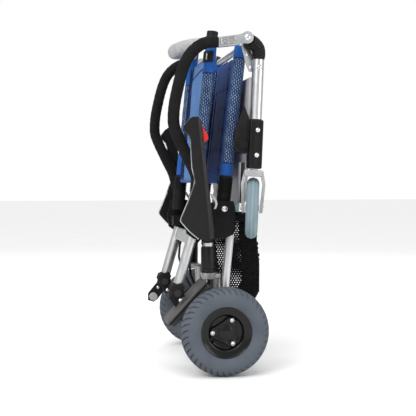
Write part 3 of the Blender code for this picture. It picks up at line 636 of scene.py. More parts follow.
LOOP = [
    (0.0098, 0.939), (-0.012, 0.9385), (-0.033, 0.9325), (-0.052, 0.92), (-0.07, 0.901), (-0.084, 0.875),
    (-0.095, 0.842), (-0.104, 0.805), (-0.1115, 0.768), (-0.115, 0.735), (-0.114, 0.705),
    (-0.104, 0.676), (-0.088, 0.642), (-0.072, 0.609), (-0.056, 0.577), (-0.046, 0.542),
    (-0.036, 0.496), (-0.0252, 0.4508),
]


def arm_loop(side, sign):
    """The foam grip over the loop, drawn in a little where it meets the metal."""
    y = sign * ARM_Y
    path = curve_through([spot(x, y, z) for x, z in LOOP], 150)

    def section(share):
        near = min(share / 0.012, (1 - share) / 0.012, 1.0)
        radius = 0.0166 * (0.9 + 0.1 * math.sqrt(max(0, near)))
        return circle(radius + 0.00025 * math.sin(share * 190), 44)

    name = f"arm_loop_foam_{side}"
    piece = shown(name, skin(name, sweep(path, section)), "foam", "arms", [f"arm_loop_{side}"])


def arm_bar(side, sign):
    """The bright flat bar with its embossed plate and two round marks, and the knee bolt."""
    rounded(f"arm_bar_{side}", 0.0025)
    out = (0, sign, 0)
    face = sign * (ARM_Y + 0.009)
    border = [(0.016, 0.931), (0.016, 0.9475), (0.066, 0.9555), (0.066, 0.937)]
    lifted = plate("label_plate", border, face - sign * 0.001, face + sign * 0.0014, 0.001)
    marks = [lifted]
    for x, z in ((0.029, 0.9415), (0.048, 0.9445)):
        at = spot(x, face + sign * 0.0013, z)
        ring = [(0.003, 0.0), (0.0036, 0.0011), (0.0048, 0.0011), (0.0054, 0.0)]
        ring += [(0.007, 0.0), (0.0074, 0.001), (0.0082, 0.001), (0.0086, 0.0)]
        marks.append(lathe("mark", ring, at, out, 36, 30))
    joined(f"arm_bar_plate_{side}", marks[:1], "satin_aluminium", "arms", "satin_aluminium")
    joined(f"arm_bar_marks_{side}", marks[1:], "mark_grey", "arms", "satin_aluminium")
    frame_line = [spot(x, face + sign * 0.0012, z) for x, z in border + border[:1]]
    line = cord("line", spread(frame_line, 60), 0.0007, 8)
    shown(f"arm_bar_border_{side}", line, "mark_grey", "arms", (), "satin_aluminium")
    knee = PIVOT["front_leg_fold"]
    at = Vector((knee.x, sign * (ARM_Y + 0.015), knee.z))
    bolts(f"knee_bolt_{side}", [(at, out)], 0.008, "arms", 0.0042)


def leg_elbow(side, sign):
    """The black knee: a bent sleeve with crossed grooves, flat where the bar's eye turns beside it."""
    path = curve_through(
        [spot(x, sign * ARM_Y, z) for x, z in ((0.09, 0.95), (0.101, 0.946), (0.114, 0.937),
                                              (0.1245, 0.924), (0.128, 0.909), (0.1275, 0.8936))], 64)
    knee = PIVOT["front_leg_fold"]

    def section(share):
        ring = []
        for number in range(64):
            turn = 2 * math.pi * number / 64
            first, second = share * 9 + number / 10.7, share * 9 - number / 10.7
            ridge = max(abs(first % 1 - 0.5), abs(second % 1 - 0.5)) * 2
            lift = 0.001 if ridge > 0.62 else -0.0004
            if share < 0.14 or share > 0.94:
                lift = 0.0006
            radius = 0.0162 + 0.0024 * math.sin(math.pi * share) + lift
            ring.append((radius * math.cos(turn), radius * math.sin(turn)))
        return ring

    rings = sweep(path, section)
    limit = ARM_Y + 0.0042
    for ring in rings:
        for number, point in enumerate(ring):
            if math.hypot(point.x - knee.x, point.z - knee.z) < 0.0205 and abs(point.y) > limit:
                ring[number] = Vector((point.x, sign * limit, point.z))
    name = f"knee_sleeve_{side}"
    node = f"leg_elbow_{side}"
    shown(name, skin(name, rings, angle=28), "black_plastic", "front_frame", [node])
    ear = [(0.08, 0.936), (0.088, 0.946), (0.1, 0.938), (0.118, 0.9), (0.1225, 0.87),
           (0.117, 0.859), (0.104, 0.86), (0.094, 0.882)]
    inner = sign * (ARM_Y - 0.0215)
    mesh = plate("ear", ear, inner, sign * (ARM_Y - 0.0172), 0.0012)
    shown(f"knee_ear_{side}", mesh, "satin_aluminium", "front_frame", (), "satin_aluminium")
    face = sign * (ARM_Y - 0.017)
    spots = [(spot(x, face, z), (0, sign, 0)) for x, z in ((0.0985, 0.908), (0.1075, 0.872))]
    bolts(f"knee_rivets_{side}", spots, 0.0042, "front_frame", 0.0022)


def front_leg(side, sign):
    """A front leg tube, with the rivet that holds its knee."""
    round_bar(f"front_leg_{side}", 0.0165)
    at = spot(0.1262, sign * (ARM_Y + 0.0162), 0.87)
    bolts(f"leg_rivet_{side}", [(at, (0, sign, 0))], 0.0058, "front_frame", 0.002)


def caster_housing(side, sign):
    """The ribbed swivel housing, with its two bolts and the boss on its bracket."""
    rounded(f"caster_housing_{side}", 0.0022)
    low, high = centre_line(f"front_leg_{side}")
    way = (high - low).normalized()
    top = low - way * 0.006
    ribs = []
    for across in (-0.0125, -0.0075, 0.0095, 0.014):
        start = top + Vector((across, sign * 0.0188, 0))
        path = spread([start, start - way * 0.122], 10)
        ribs.append(cord("rib", path, 0.0014, 10, tall=0.0018))
    collar = [(0.0172, 0.0), (0.0195, -0.0006), (0.02, -0.006), (0.0172, -0.0066)]
    ribs.append(lathe("collar", collar, low - way * 0.0004, way, 48, 30))
    for number in range(9):
        height = 0.7 - number * 0.0065
        ends = [spot(x, sign * (ARM_Y + 0.0062), height) for x in (0.07, 0.0945)]
        ribs.append(cord("louvre", spread(ends, 4), 0.0011, 8))
    joined(f"housing_ribs_{side}", ribs, "black_plastic", "front_frame", "black_plastic")
    out = (0, sign, 0)
    face = sign * (ARM_Y + 0.0196)
    spots = [(spot(x, face, z), out) for x, z in ((0.1212, 0.693), (0.118, 0.6225))]
    bolts(f"housing_bolts_{side}", spots, 0.0052, "front_frame", 0.0026)
    boss = [(0.0, 0.0016), (0.009, 0.0016), (0.01, 0.0008), (0.012, 0.0008), (0.0125, 0.0), (0.0, -0.0004)]
    at = spot(0.08, sign * (ARM_Y + 0.014), 0.652)
    shown(f"housing_boss_{side}", lathe("boss", boss, at, out, 40, 30), "cover_plastic", "front_frame", (),
          "black_plastic")


def caster_fork(side):
    """A caster fork, with the two heads of its axle."""
    body = f"caster_swivel_{side}"
    rounded(f"caster_fork_{side}", 0.0022, "cast_aluminium")
    joint = next(j for j in frame["joints"] if j["name"] == f"caster_spin_{side}")
    out = Vector(joint["axis"])
    spots = [(PIVOT[joint["name"]] + out * face * 0.03, out * face) for face in (1, -1)]
    bolts(f"caster_axle_{side}", spots, 0.007, body, 0.004)


# ---- seat and backrest


def line_of(node):
    """Where a straight CAD piece starts, which way it runs and how long it is."""
    low, high = centre_line(node)
    return low, (high - low).normalized(), (high - low).length


def sleeve_rings(start, way, length, radius, steps, ripple, seed):
    """Rings of a cloth sleeve that wanders and creases a little round its tube."""
    path = [start + way * length * i / steps for i in range(steps + 1)]
    sides = 44

    def section(share):
        ring = []
        for number in range(sides):
            turn = 2 * math.pi * number / sides
            at = Vector((math.cos(turn) * 1.2, math.sin(turn) * 1.2, share * length * 34 + seed))
            crease = noise.noise(at) * ripple
            edge = min(share, 1 - share) * length
            tuck = -0.0012 * max(0, 1 - edge / 0.004)
            out = radius + crease + tuck
            ring.append((out * math.cos(turn), out * math.sin(turn)))
        return ring

    return sweep(path, section, (0, 1, 0))


def side_tube(node, marks, radius, boot_radius, seed, body, slot, top_gap=0.001):
    """A padded side tube as it is dressed: boot, bright band, dashed sleeve, and plain top."""
    start, way, length = line_of(node)
    boot_end, band_end, dash_end = marks
    name = node + "_"
    ribs = [(0.0, 0.0), (boot_radius - 0.003, 0.0), (boot_radius - 0.0008, 0.002)]
    height = 0.008
    while height < boot_end - 0.052:
        ribs.append((boot_radius - 0.0006, height))
        height += 0.012
    count = 8
    for number in range(count):
        low = boot_end - 0.05 + number * 0.0058
        outer = boot_radius - 0.0002
        ribs += [(boot_radius - 0.0022, low), (outer, low + 0.0012), (outer, low + 0.0036)]
    ribs += [(boot_radius - 0.0022, boot_end - 0.002), (radius - 0.0005, boot_end), (0.0, boot_end)]
    mesh = lathe(name + "boot", ribs, start, way, 48, 28)
    shown(name + "boot", mesh, "cover_plastic", body, [node], "black_plastic")
    pieces = (
        ("band", boot_end, band_end, "bright_band", 0.0004),
        ("sleeve", band_end, dash_end, "sleeve", 0.0011),
        ("top", dash_end, length - top_gap, "bright_band", 0.0008),
    )
    for part, low, high, surface, ripple in pieces:
        steps = max(8, int((high - low) / 0.005))
        rings = sleeve_rings(start + way * low, way, high - low, radius, steps, ripple, seed)
        mesh = skin(name + part, rings, angle=50)
        shown(name + part, mesh, surface, body, (), slot)
    for share, low in enumerate((boot_end, band_end, dash_end)):
        hem = [(radius + 0.0002, low - 0.0012), (radius + 0.0011, low), (radius + 0.0002, low + 0.0012)]
        mesh = lathe(f"{name}hem_{share}", hem, start, way, 44, 60)
        shown(f"{name}hem_{share}", mesh, "piping", body, (), slot)


PAD_VOXEL = 0.0045
PAD_PRESSURE = 2.2
PAD_SWELL = 0.0065  # the most that a point may move
PAD_FRAMES = 20
PAD_OVERLAP = 0.0045  # how far a pad is widened, so that it reaches into its side tubes
PAD_HELD = 0.004  # the width of each held edge
PULL_FROM, PULL_OVER = 0.1, 0.082  # the ends of a cloth are drawn out from here, over this length
SEAT_PULL = 0.01  # how far the seat cloth is drawn past each end of its solid


def settle(piece, held):
    """Fills a pad with the cloth simulation: it swells between its held edges, by no more than PAD_SWELL."""
    mesh = piece.data
    remesh = piece.modifiers.new("even", "REMESH")
    remesh.mode = "VOXEL"
    remesh.voxel_size = PAD_VOXEL
    bpy.context.view_layer.update()
    graph = bpy.context.evaluated_depsgraph_get()
    even = bpy.data.meshes.new_from_object(piece.evaluated_get(graph))
    piece.modifiers.clear()
    piece.data = even
    bpy.data.meshes.remove(mesh)
    before = np.array([v.co for v in even.vertices])
    group = piece.vertex_groups.new(name="held")
    for number, point in enumerate(before):
        grip = held(Vector(point))
        if grip > 0:
            group.add([number], grip, "REPLACE")
    sim = piece.modifiers.new("cloth", "CLOTH")
    sim.settings.quality = 6
    sim.settings.mass = 0.3
    sim.settings.tension_stiffness = 12
    sim.settings.compression_stiffness = 6
    sim.settings.shear_stiffness = 4
    sim.settings.bending_stiffness = 0.15
    sim.settings.use_pressure = True
    sim.settings.uniform_pressure_force = PAD_PRESSURE
    sim.settings.vertex_group_mass = "held"
    sim.settings.effector_weights.gravity = 0
    sim.collision_settings.use_collision = False
    sim.point_cache.frame_start = 1
    sim.point_cache.frame_end = PAD_FRAMES
    scene = bpy.context.scene
    for number in range(1, PAD_FRAMES + 1):
        scene.frame_set(number)
    graph = bpy.context.evaluated_depsgraph_get()
    swollen = bpy.data.meshes.new_from_object(piece.evaluated_get(graph))
    piece.modifiers.clear()
    piece.vertex_groups.clear()
    after = np.array([v.co for v in swollen.vertices])
    moved = after - before
    size = np.linalg.norm(moved, axis=1, keepdims=True)
    capped = before + moved * np.minimum(1, PAD_SWELL / np.maximum(size, 1e-9))
    swollen.vertices.foreach_set("co", capped.astype(np.float32).ravel())
    piece.data = swollen
    bpy.data.meshes.remove(even)
    scene.frame_set(1)
    swollen.shade_smooth()


def scallop(share):
    """How the top edge of the seat cloth hangs: high at the rails, low beside them, level between."""
    rail = max(0, min(1, (share - 0.72) / 0.25))
    dip = math.exp(-(((share - 0.7) / 0.14) ** 2))
    return 0.25 + 0.75 * rail - 0.35 * dip


def sling(node, name, body, surfaces, split, seed, seams, rise=0.0, drop=0.0):
    """A padded fabric panel between two side tubes, filled by the simulation, then sewn and creased."""
    low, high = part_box(node)
    centre = (low + high) / 2
    rail = "seat_rail_right" if body == "seat" else "back_post_right"
    way = line_of(rail)[1]
    facing = Vector((-way.z, 0, way.x))
    mesh = NODES[node].data.copy()
    piece = shown(name, mesh, surfaces, body, [node])
    half = high.y
    points = np.array([v.co for v in mesh.vertices])
    points[:, 1] *= (half + PAD_OVERLAP) / half
    mesh.vertices.foreach_set("co", points.astype(np.float32).ravel())
    settle(piece, lambda p: 1.0 if abs(p.y) > half - PAD_HELD else 0.0)
    mesh = piece.data
    mesh.materials.clear()
    for each in surfaces:
        mesh.materials.append(SURFACE[each])
    for vertex in mesh.vertices:
        at = vertex.co - centre
        above, below = at.dot(way) - PULL_FROM, -at.dot(way) - PULL_FROM
        vertex.co += way * rise * max(0, above / PULL_OVER) * scallop(abs(at.y) / half)
        vertex.co -= way * drop * max(0, below / PULL_OVER)
        at = vertex.co - centre
        up, deep = at.dot(way), at.dot(facing)
        side = 1 if deep > 0 else -1
        crease = noise.noise(Vector((at.y * 9, up * 26, seed))) * 0.0016
        crease += noise.noise(Vector((at.y * 24, up * 8, seed + 5))) * 0.001
        hold = min(1, max(0, (half - abs(at.y)) / 0.02))
        sewn = sum(math.exp(-(((up - line) / 0.0022) ** 2)) for line in seams)
        vertex.co += facing * (crease * hold - side * 0.0016 * sewn)
    for face in mesh.polygons:
        at = face.center - centre
        face.material_index = split(at.y, at.dot(way), at.dot(facing))
    mesh.shade_smooth()
    return centre, way, facing, half


def seat():
    for number, (side, _) in enumerate(SIDES):
        side_tube(f"seat_rail_{side}", (0.11, 0.148, 0.451), 0.0176, 0.0209, 3.0 + number * 7,
                  "seat", "seat_fabric")
    seams = (-0.15, -0.09, -0.03, 0.03, 0.09, 0.15)
    # The piping seams are real; the brighter blue between them, from 0.09 to 0.142 off the middle, is a painted
    # highlight.
    centre, way, facing, half = sling(
        "seat_sling", "seat_cushion", "seat", ["seat_cloth", "seat_band_painted_highlight"],
        lambda y, up, deep: 1 if 0.09 < abs(y) < 0.142 else 0, 2.0, seams, SEAT_PULL, SEAT_PULL)
    for number, y in enumerate((-0.142, -0.09, 0.09, 0.142)):
        for face in (1, -1):
            path = []
            for up in np.linspace(-0.194, 0.176, 40):
                lift = 0.0072 + 0.0028 * math.cos(up / 0.18 * 1.4)
                path.append(centre + Vector((0, y, 0)) + way * up + facing * face * lift)
            side = "rear" if face > 0 else "front"
            hose(f"seat_piping_{number}_{side}", path, 0.0017, "piping", "seat", "seat_fabric")
    round_bar("seat_front_bar", 0.0108)


def backrest():
    for number, (side, sign) in enumerate(SIDES):
        side_tube(f"back_post_{side}", (0.113, 0.183, 0.406), 0.0166, 0.0209, 31.0 + number * 7, "backrest",
                  "back_fabric", 0.03)
        post_dressing(side, sign)

    def split(y, up, deep):
        if deep < 0:
            return 0
        return 1 if y > 0.058 else 0

    centre, way, facing, half = sling(
        "back_sling", "backrest_cushion", "backrest", ["back_cloth", "back_mesh"], split, 9.0, (-0.15, 0.168))
    rear = 0.0105
    seam = [(0.15, 0.106), (0.075, 0.13), (0.0, 0.142), (-0.075, 0.148), (-0.15, 0.149)]
    points = [centre + Vector((0, y, 0)) + way * up + facing * rear for y, up in seam]
    path = curve_through(points, 50)
    hose("backrest_seam", path, 0.0016, "piping", "backrest", "back_fabric", 10, (1, 0, 0))
    for number, y in enumerate((0.058, 0.096)):
        start = centre + Vector((0, y, 0))
        path = [start + way * up + facing * (rear + 0.001) for up in np.linspace(-0.176, 0.176, 40)]
        hose(f"backrest_piping_{number}", path, 0.0024, "piping", "backrest", "back_fabric")
    for number, up in enumerate((-0.178, 0.178)):
        path = [centre + Vector((0, y, 0)) + way * up for y in np.linspace(-half, half, 40)]
        hose(f"backrest_hem_{number}", path, 0.0062, "back_mesh", "backrest", "back_fabric", 14, (1, 0, 0))


def post_dressing(side, sign):
    """The black cap and the handle clamp with its pale clip at the top of a backrest post."""
    start, way, length = line_of(f"back_post_{side}")
    cap = [(0.0, 0.0), (0.015, 0.0), (0.0163, -0.0014), (0.0163, -0.0125), (0.0171, -0.0135), (0.0171, -0.03)]
    mesh = lathe(f"post_cap_{side}", cap + [(0.0, -0.03)], start + way * length, way, 48, 30)
    shown(f"post_cap_{side}", mesh, "black_plastic", "backrest", (), "black_plastic")
    low = start + way * (length - 0.09)
    jaw = []
    for height in (0.0, 0.0012, 0.031, 0.0322):
        swell = 0.0 if height in (0.0, 0.0322) else 0.0012
        arcs = ((0.019 + swell, np.linspace(1.25, 3.35, 16)), (0.0168, np.linspace(3.35, 1.25, 16)))
        ring = [low + way * height + Vector((r * math.cos(t), sign * r * math.sin(t), 0))
                for r, turns in arcs for t in turns]
        jaw.append(ring)
    shown(f"post_clamp_{side}", skin("jaw", jaw, angle=30), "black_plastic", "backrest", (), "black_plastic")
    foot = low + Vector((-0.0128, sign * 0.0156, 0)) + way * 0.007
    mesh = cord("clip", spread([foot, foot + way * 0.018], 8), 0.0018, 12, tall=0.0014)
    shown(f"post_clip_{side}", mesh, "light_plastic", "backrest", (), "light_grip")


def push_handle():
    """The broad pale bow: a deep oval in the middle that thins out towards the posts."""
    half = [(0.004, 0.155, 0.952), (0.0, 0.143, 0.953), (-0.018, 0.129, 0.9525), (-0.04, 0.11, 0.951),
            (-0.06, 0.084, 0.9485), (-0.0745, 0.054, 0.946), (-0.082, 0.026, 0.9445), (-0.084, 0.0, 0.944)]
    corners = [spot(x, -y, z) for x, y, z in half] + [spot(x, y, z) for x, y, z in reversed(half[:-1])]
    path = curve_through(corners, 110)

    def section(share):
        middle = math.sin(math.pi * share) ** 0.6 if 0 < share < 1 else 0.0
        return circle(0.01 + 0.0055 * middle, 40, 0.0095 + 0.0095 * middle)

    rings = sweep(path, section, (0, 0, 1))
    shown("push_handle_grip", skin("push_handle_grip", rings), "light_grip", "backrest", ["push_handle"])
    # A raised lip along the lower edge; its paler plastic is a painted highlight line along it.
    line = [p + Vector((-0.004, 0, -0.014)) for p in path[28:82]]
    hose("push_handle_lip_painted_highlight", line, 0.0026, "light_plastic", "backrest", "light_grip", 12, (0, 0, 1))


# ---- side panels and castings

RIDGE_TOP, RIDGE_FOOT = (-0.058, 0.727), (-0.0215, 0.38)


def side_panel(side, sign):
    """The long cover, folded along a raised line, with a pale edge strip behind."""
    name, node = f"side_cover_{side}", f"side_panel_{side}"
    shape = cad_shape(node)
    along = (spot(RIDGE_FOOT[0], 0, RIDGE_FOOT[1]) - spot(RIDGE_TOP[0], 0, RIDGE_TOP[1])).normalized()
    across = Vector((along.z, 0, -along.x))
    for offset in (-0.0045, 0.0045):
        bmesh.ops.bisect_plane(
            shape, geom=shape.verts[:] + shape.edges[:] + shape.faces[:],
            plane_co=spot(RIDGE_TOP[0], 0, RIDGE_TOP[1]) + across * offset, plane_no=across)
    outer = max(abs(v.co.y) for v in shape.verts)
    for vertex in shape.verts:
        off = abs((vertex.co - spot(RIDGE_TOP[0], 0, RIDGE_TOP[1])).dot(across))
        if abs(off - 0.0045) < 1e-4 and abs(vertex.co.y) > outer - 0.0005:
            vertex.co.y += sign * 0.003
    mesh = mesh_from(name, shape, 25)
    piece = shown(name, mesh, "panel_plastic", "arms", [node])
    edge = piece.modifiers.new("edge", "BEVEL")
    edge.width = 0.0016
    edge.segments = 3
    edge.angle_limit = math.radians(30)
    strip = [(-0.09, 0.6895), (-0.077, 0.676), (-0.0722, 0.66), (-0.0682, 0.591), (-0.0605, 0.5465),
             (-0.079, 0.4935), (-0.0985, 0.446), (-0.0965, 0.4345), (-0.0735, 0.4085), (-0.049, 0.3885)]
    path = curve_through([spot(x + 0.0012, sign * 0.256, z) for x, z in strip], 90)
    mesh = cord("trim", path, 0.0017, 12, tall=0.0034)
    shown(f"side_trim_{side}", mesh, "satin_aluminium", "arms", (), "satin_aluminium")


def casting(side, sign):
    """The pivot casting, with ribs outside, pivot bolts, and the small bright link behind."""
    rounded(f"hinge_casting_{side}", 0.002, "cover_plastic")
    out = (0, sign, 0)
    face = sign * 0.2032
    ribs = []
    for number in range(7):
        low, high = 0.4 + number * 0.011, -0.066 + number * 0.0012
        path = spread([spot(high, face, low), spot(high + 0.026, face, low + 0.01)], 4)
        ribs.append(cord("rib", path, 0.0016, 10))
    joined(f"casting_ribs_{side}", ribs, "black_plastic", "chassis", "black_plastic")
    spots = [(spot(x, face, z), out) for x, z in ((-0.066, 0.424), (-0.04, 0.44))]
    bolts(f"casting_bolts_{side}", spots, 0.0062, "chassis", 0.003)
    link = [(-0.068, 0.42), (-0.038, 0.4362), (-0.042, 0.444), (-0.064, 0.4282)]
    mesh = plate("link", link, face, face + sign * 0.002, 0.0006)
    shown(f"casting_link_{side}", mesh, "satin_aluminium", "chassis", (), "satin_aluminium")
    for joint in ("seat_fold", "backrest_recline"):
        at = Vector((PIVOT[joint].x, face, PIVOT[joint].z))
        bolts(f"{joint}_bolt_{side}", [(at, out)], 0.0065, "chassis", 0.003)


# ---- rear chassis


def chassis():
    round_bar("axle_beam", 0.0149)
    rounded("carrier_plate", 0.003)
    rounded("parking_stand", 0.0012)
    for side, sign in SIDES:
        round_bar(f"rear_leg_{side}", 0.012)
        round_bar(f"carrier_rail_{side}", 0.0155)
        rounded(f"gearbox_{side}", 0.0022)
        knuckle(side, sign)
        motor(side, sign)


def knuckle(side, sign):
    """The ribbed knuckle on its rail, with shields and knobs, and on the left a roller."""
    node = f"rear_knuckle_{side}"
    rounded(node, 0.0015)
    low, high = centre_line(f"carrier_rail_{side}")
    way = (low - high).normalized()
    meshes = []
    for number in range(6):
        ring = [(0.0188, 0.0), (0.0203, 0.0008), (0.0203, 0.003), (0.0188, 0.0038)]
        meshes.append(lathe("ring", ring, low + way * (0.004 + number * 0.006), way, 40, 30))
    joined(f"knuckle_ribs_{side}", meshes, "black_plastic", "chassis", "black_plastic")
    foot = [(-0.105, 0.205), (-0.093, 0.186), (-0.08, 0.19)] if side == "left" else [(-0.106, 0.208)]
    shield = [(-0.079, 0.256), (-0.112, 0.25), (-0.118, 0.235), *foot, (-0.074, 0.216)]
    shields, knobs, heads = [], [], []
    profile = [(0.0, 0.004), (0.005, 0.0042), (0.0058, 0.003), (0.0075, 0.003), (0.008, 0.0046),
               (0.0098, 0.0044), (0.0104, 0.0), (0.0, -0.0008)]
    for turned, y in ((1, 0.1718), (-1, 0.1284)):
        way, face = (0, sign * turned, 0), sign * y
        shields.append(plate("shield", shield, face - sign * turned * 0.006, face, 0.0014))
        knobs.append(lathe("knob", profile, spot(-0.095, face, 0.226), way, 40, 30))
        heads.append((spot(-0.087, face, 0.1985 if side == "left" else 0.206), way))
    joined(f"knuckle_shield_{side}", shields, "black_plastic", "chassis", "black_plastic")
    joined(f"knuckle_knob_{side}", knobs, "battery_case", "chassis", "black_plastic")
    if side == "left":
        rollers = []
        profile = [(0.0, 0.006), (0.005, 0.006), (0.0056, 0.004), (0.012, 0.004), (0.0132, 0.0026),
                   (0.0132, -0.002), (0.0, -0.002)]
        for turned, y in ((1, 0.1684), (-1, 0.1616)):
            way, face = (0, sign * turned, 0), sign * y
            rollers.append(lathe("roller", profile, spot(-0.129, face, 0.174), way, 40, 30))
            heads.append((spot(-0.113, face, 0.204), way))
        joined(f"knuckle_roller_{side}", rollers, "cast_aluminium", "chassis", "satin_aluminium")
    bolts(f"knuckle_bolts_{side}", heads, 0.0044, "chassis", 0.0026)


def motor(side, sign):
    """The can with its seams, a bright collar, and the black cap that the cable leaves from."""
    node = f"drive_motor_{side}"
    low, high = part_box(node)
    x, y, foot = (low.x + high.x) / 2, (low.y + high.y) / 2, low.z
    can = [(0.0, 0.0), (0.0195, 0.0), (0.0213, 0.002), (0.0213, 0.01), (0.0206, 0.0108), (0.0206, 0.0124),
           (0.0213, 0.0132), (0.0213, 0.07), (0.0195, 0.0752), (0.012, 0.0758), (0.0, 0.0758)]
    collar = [(0.0, 0.074), (0.014, 0.074), (0.0144, 0.0755), (0.0144, 0.086), (0.0135, 0.087), (0.0, 0.087)]
    cap = [(0.0, 0.0868), (0.0142, 0.0868), (0.0146, 0.088), (0.014, 0.093), (0.006, 0.0938), (0.0, 0.0938)]
    for part, profile, sides, surface, stands_for in (
        ("can", can, 56, "panel_plastic", [node]),
        ("collar", collar, 48, "satin_aluminium", ()),
        ("cap", cap, 48, "black_plastic", ()),
    ):
        name = f"motor_{part}_{side}"
        mesh = lathe(name, profile, (x, y, foot), (0, 0, 1), sides, 30)
        shown(name, mesh, surface, "chassis", stands_for, None if stands_for else surface)


def battery():
    """The slanted pack: a darker body under a lid whose paler grey is painted light on the lit upper face, parted
    by a raised lip.
    """
    node = "battery_pack"
    slope = Matrix.Rotation(math.radians(-47), 3, "Y")
    low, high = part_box(node)
    centre = (low + high) / 2
    half = Vector((0.082, (high.y - low.y) / 2, 0.012))

    def slabs(name, floor, roof, inset, surface, stands_for=()):
        rings = []
        corner = 0.01
        for level, shrink in ((floor, inset + 0.0025), (floor + 0.0025, inset), (roof - 0.0025, inset),
                              (roof, inset + 0.0025)):
            ring = []
            for cx, cy, start in ((1, 1, 0), (-1, 1, 90), (-1, -1, 180), (1, -1, 270)):
                for step in range(7):
                    turn = math.radians(start + 15 * step)
                    reach_x, reach_y = half.x - shrink - corner, half.y - shrink - corner
                    ring.append(centre + slope @ Vector((cx * reach_x + corner * math.cos(turn),
                                                         cy * reach_y + corner * math.sin(turn), level)))
            rings.append(ring)
        shown(name, skin(name, rings, angle=30), surface, "chassis", stands_for, "battery_case")

    slabs("battery_body", -0.012, 0.003, 0.0012, "battery_case", [node])
    slabs("battery_lip", 0.0016, 0.0046, 0.0, "black_plastic")
    # Painted light: the lid is paler only because light falls on the pack's upper face.
    slabs("battery_lid_painted_light", 0.003, 0.012, 0.0008, "battery_lid_painted_light")


def motor_cables():
    """The CAD cables as they are, in black and shaded smooth."""
    for side, _ in SIDES:
        NODES[f"motor_cable_{side}"].data.materials.clear()
        NODES[f"motor_cable_{side}"].data.materials.append(SURFACE["foam"])
        NODES[f"motor_cable_{side}"].data.shade_smooth()


# ---- the basket

NET_PITCH = 0.0078
NET_CORD = 0.0052
BASKET = [(0.01, 0.448), (0.046, 0.2), (0.144, 0.2), (0.158, 0.224), (0.158, 0.3), (0.142, 0.448)]
BASKET_HALF = 0.1135


def net(place, inside, width, height):
    """Hexagonal holes laid on a surface: place(u, v) gives the point, inside(u, v) says where."""
    shape = bmesh.new()
    side = NET_PITCH / math.sqrt(3)
    known = {}
    rows = int(height / (1.5 * side)) + 1
    for row in range(rows + 1):
        for column in range(int(width / NET_PITCH) + 2):
            u = (column + 0.5 * (row % 2)) * NET_PITCH
            v = row * 1.5 * side
            if not inside(u, v):
                continue
            corners = []
            for number in range(6):
                turn = math.radians(60 * number + 30)
                cu, cv = u + side * math.cos(turn), v + side * math.sin(turn)
                key = (round(cu, 5), round(cv, 5))
                if key not in known:
                    known[key] = shape.verts.new(place(cu, cv))
                corners.append(known[key])
            shape.faces.new(corners)
    return shape


def hump(share):
    """0 at both ends of a span and 1 in its middle."""
    return math.sin(math.pi * min(1, max(0, share)))


def in_outline(x, z, outline):
    """True inside a closed outline."""
    hits = 0
    for (x1, z1), (x2, z2) in zip(outline, outline[1:] + outline[:1]):
        if (z1 > z) != (z2 > z) and x < x1 + (z - z1) / (z2 - z1) * (x2 - x1):
            hits += 1
    return hits % 2 == 1


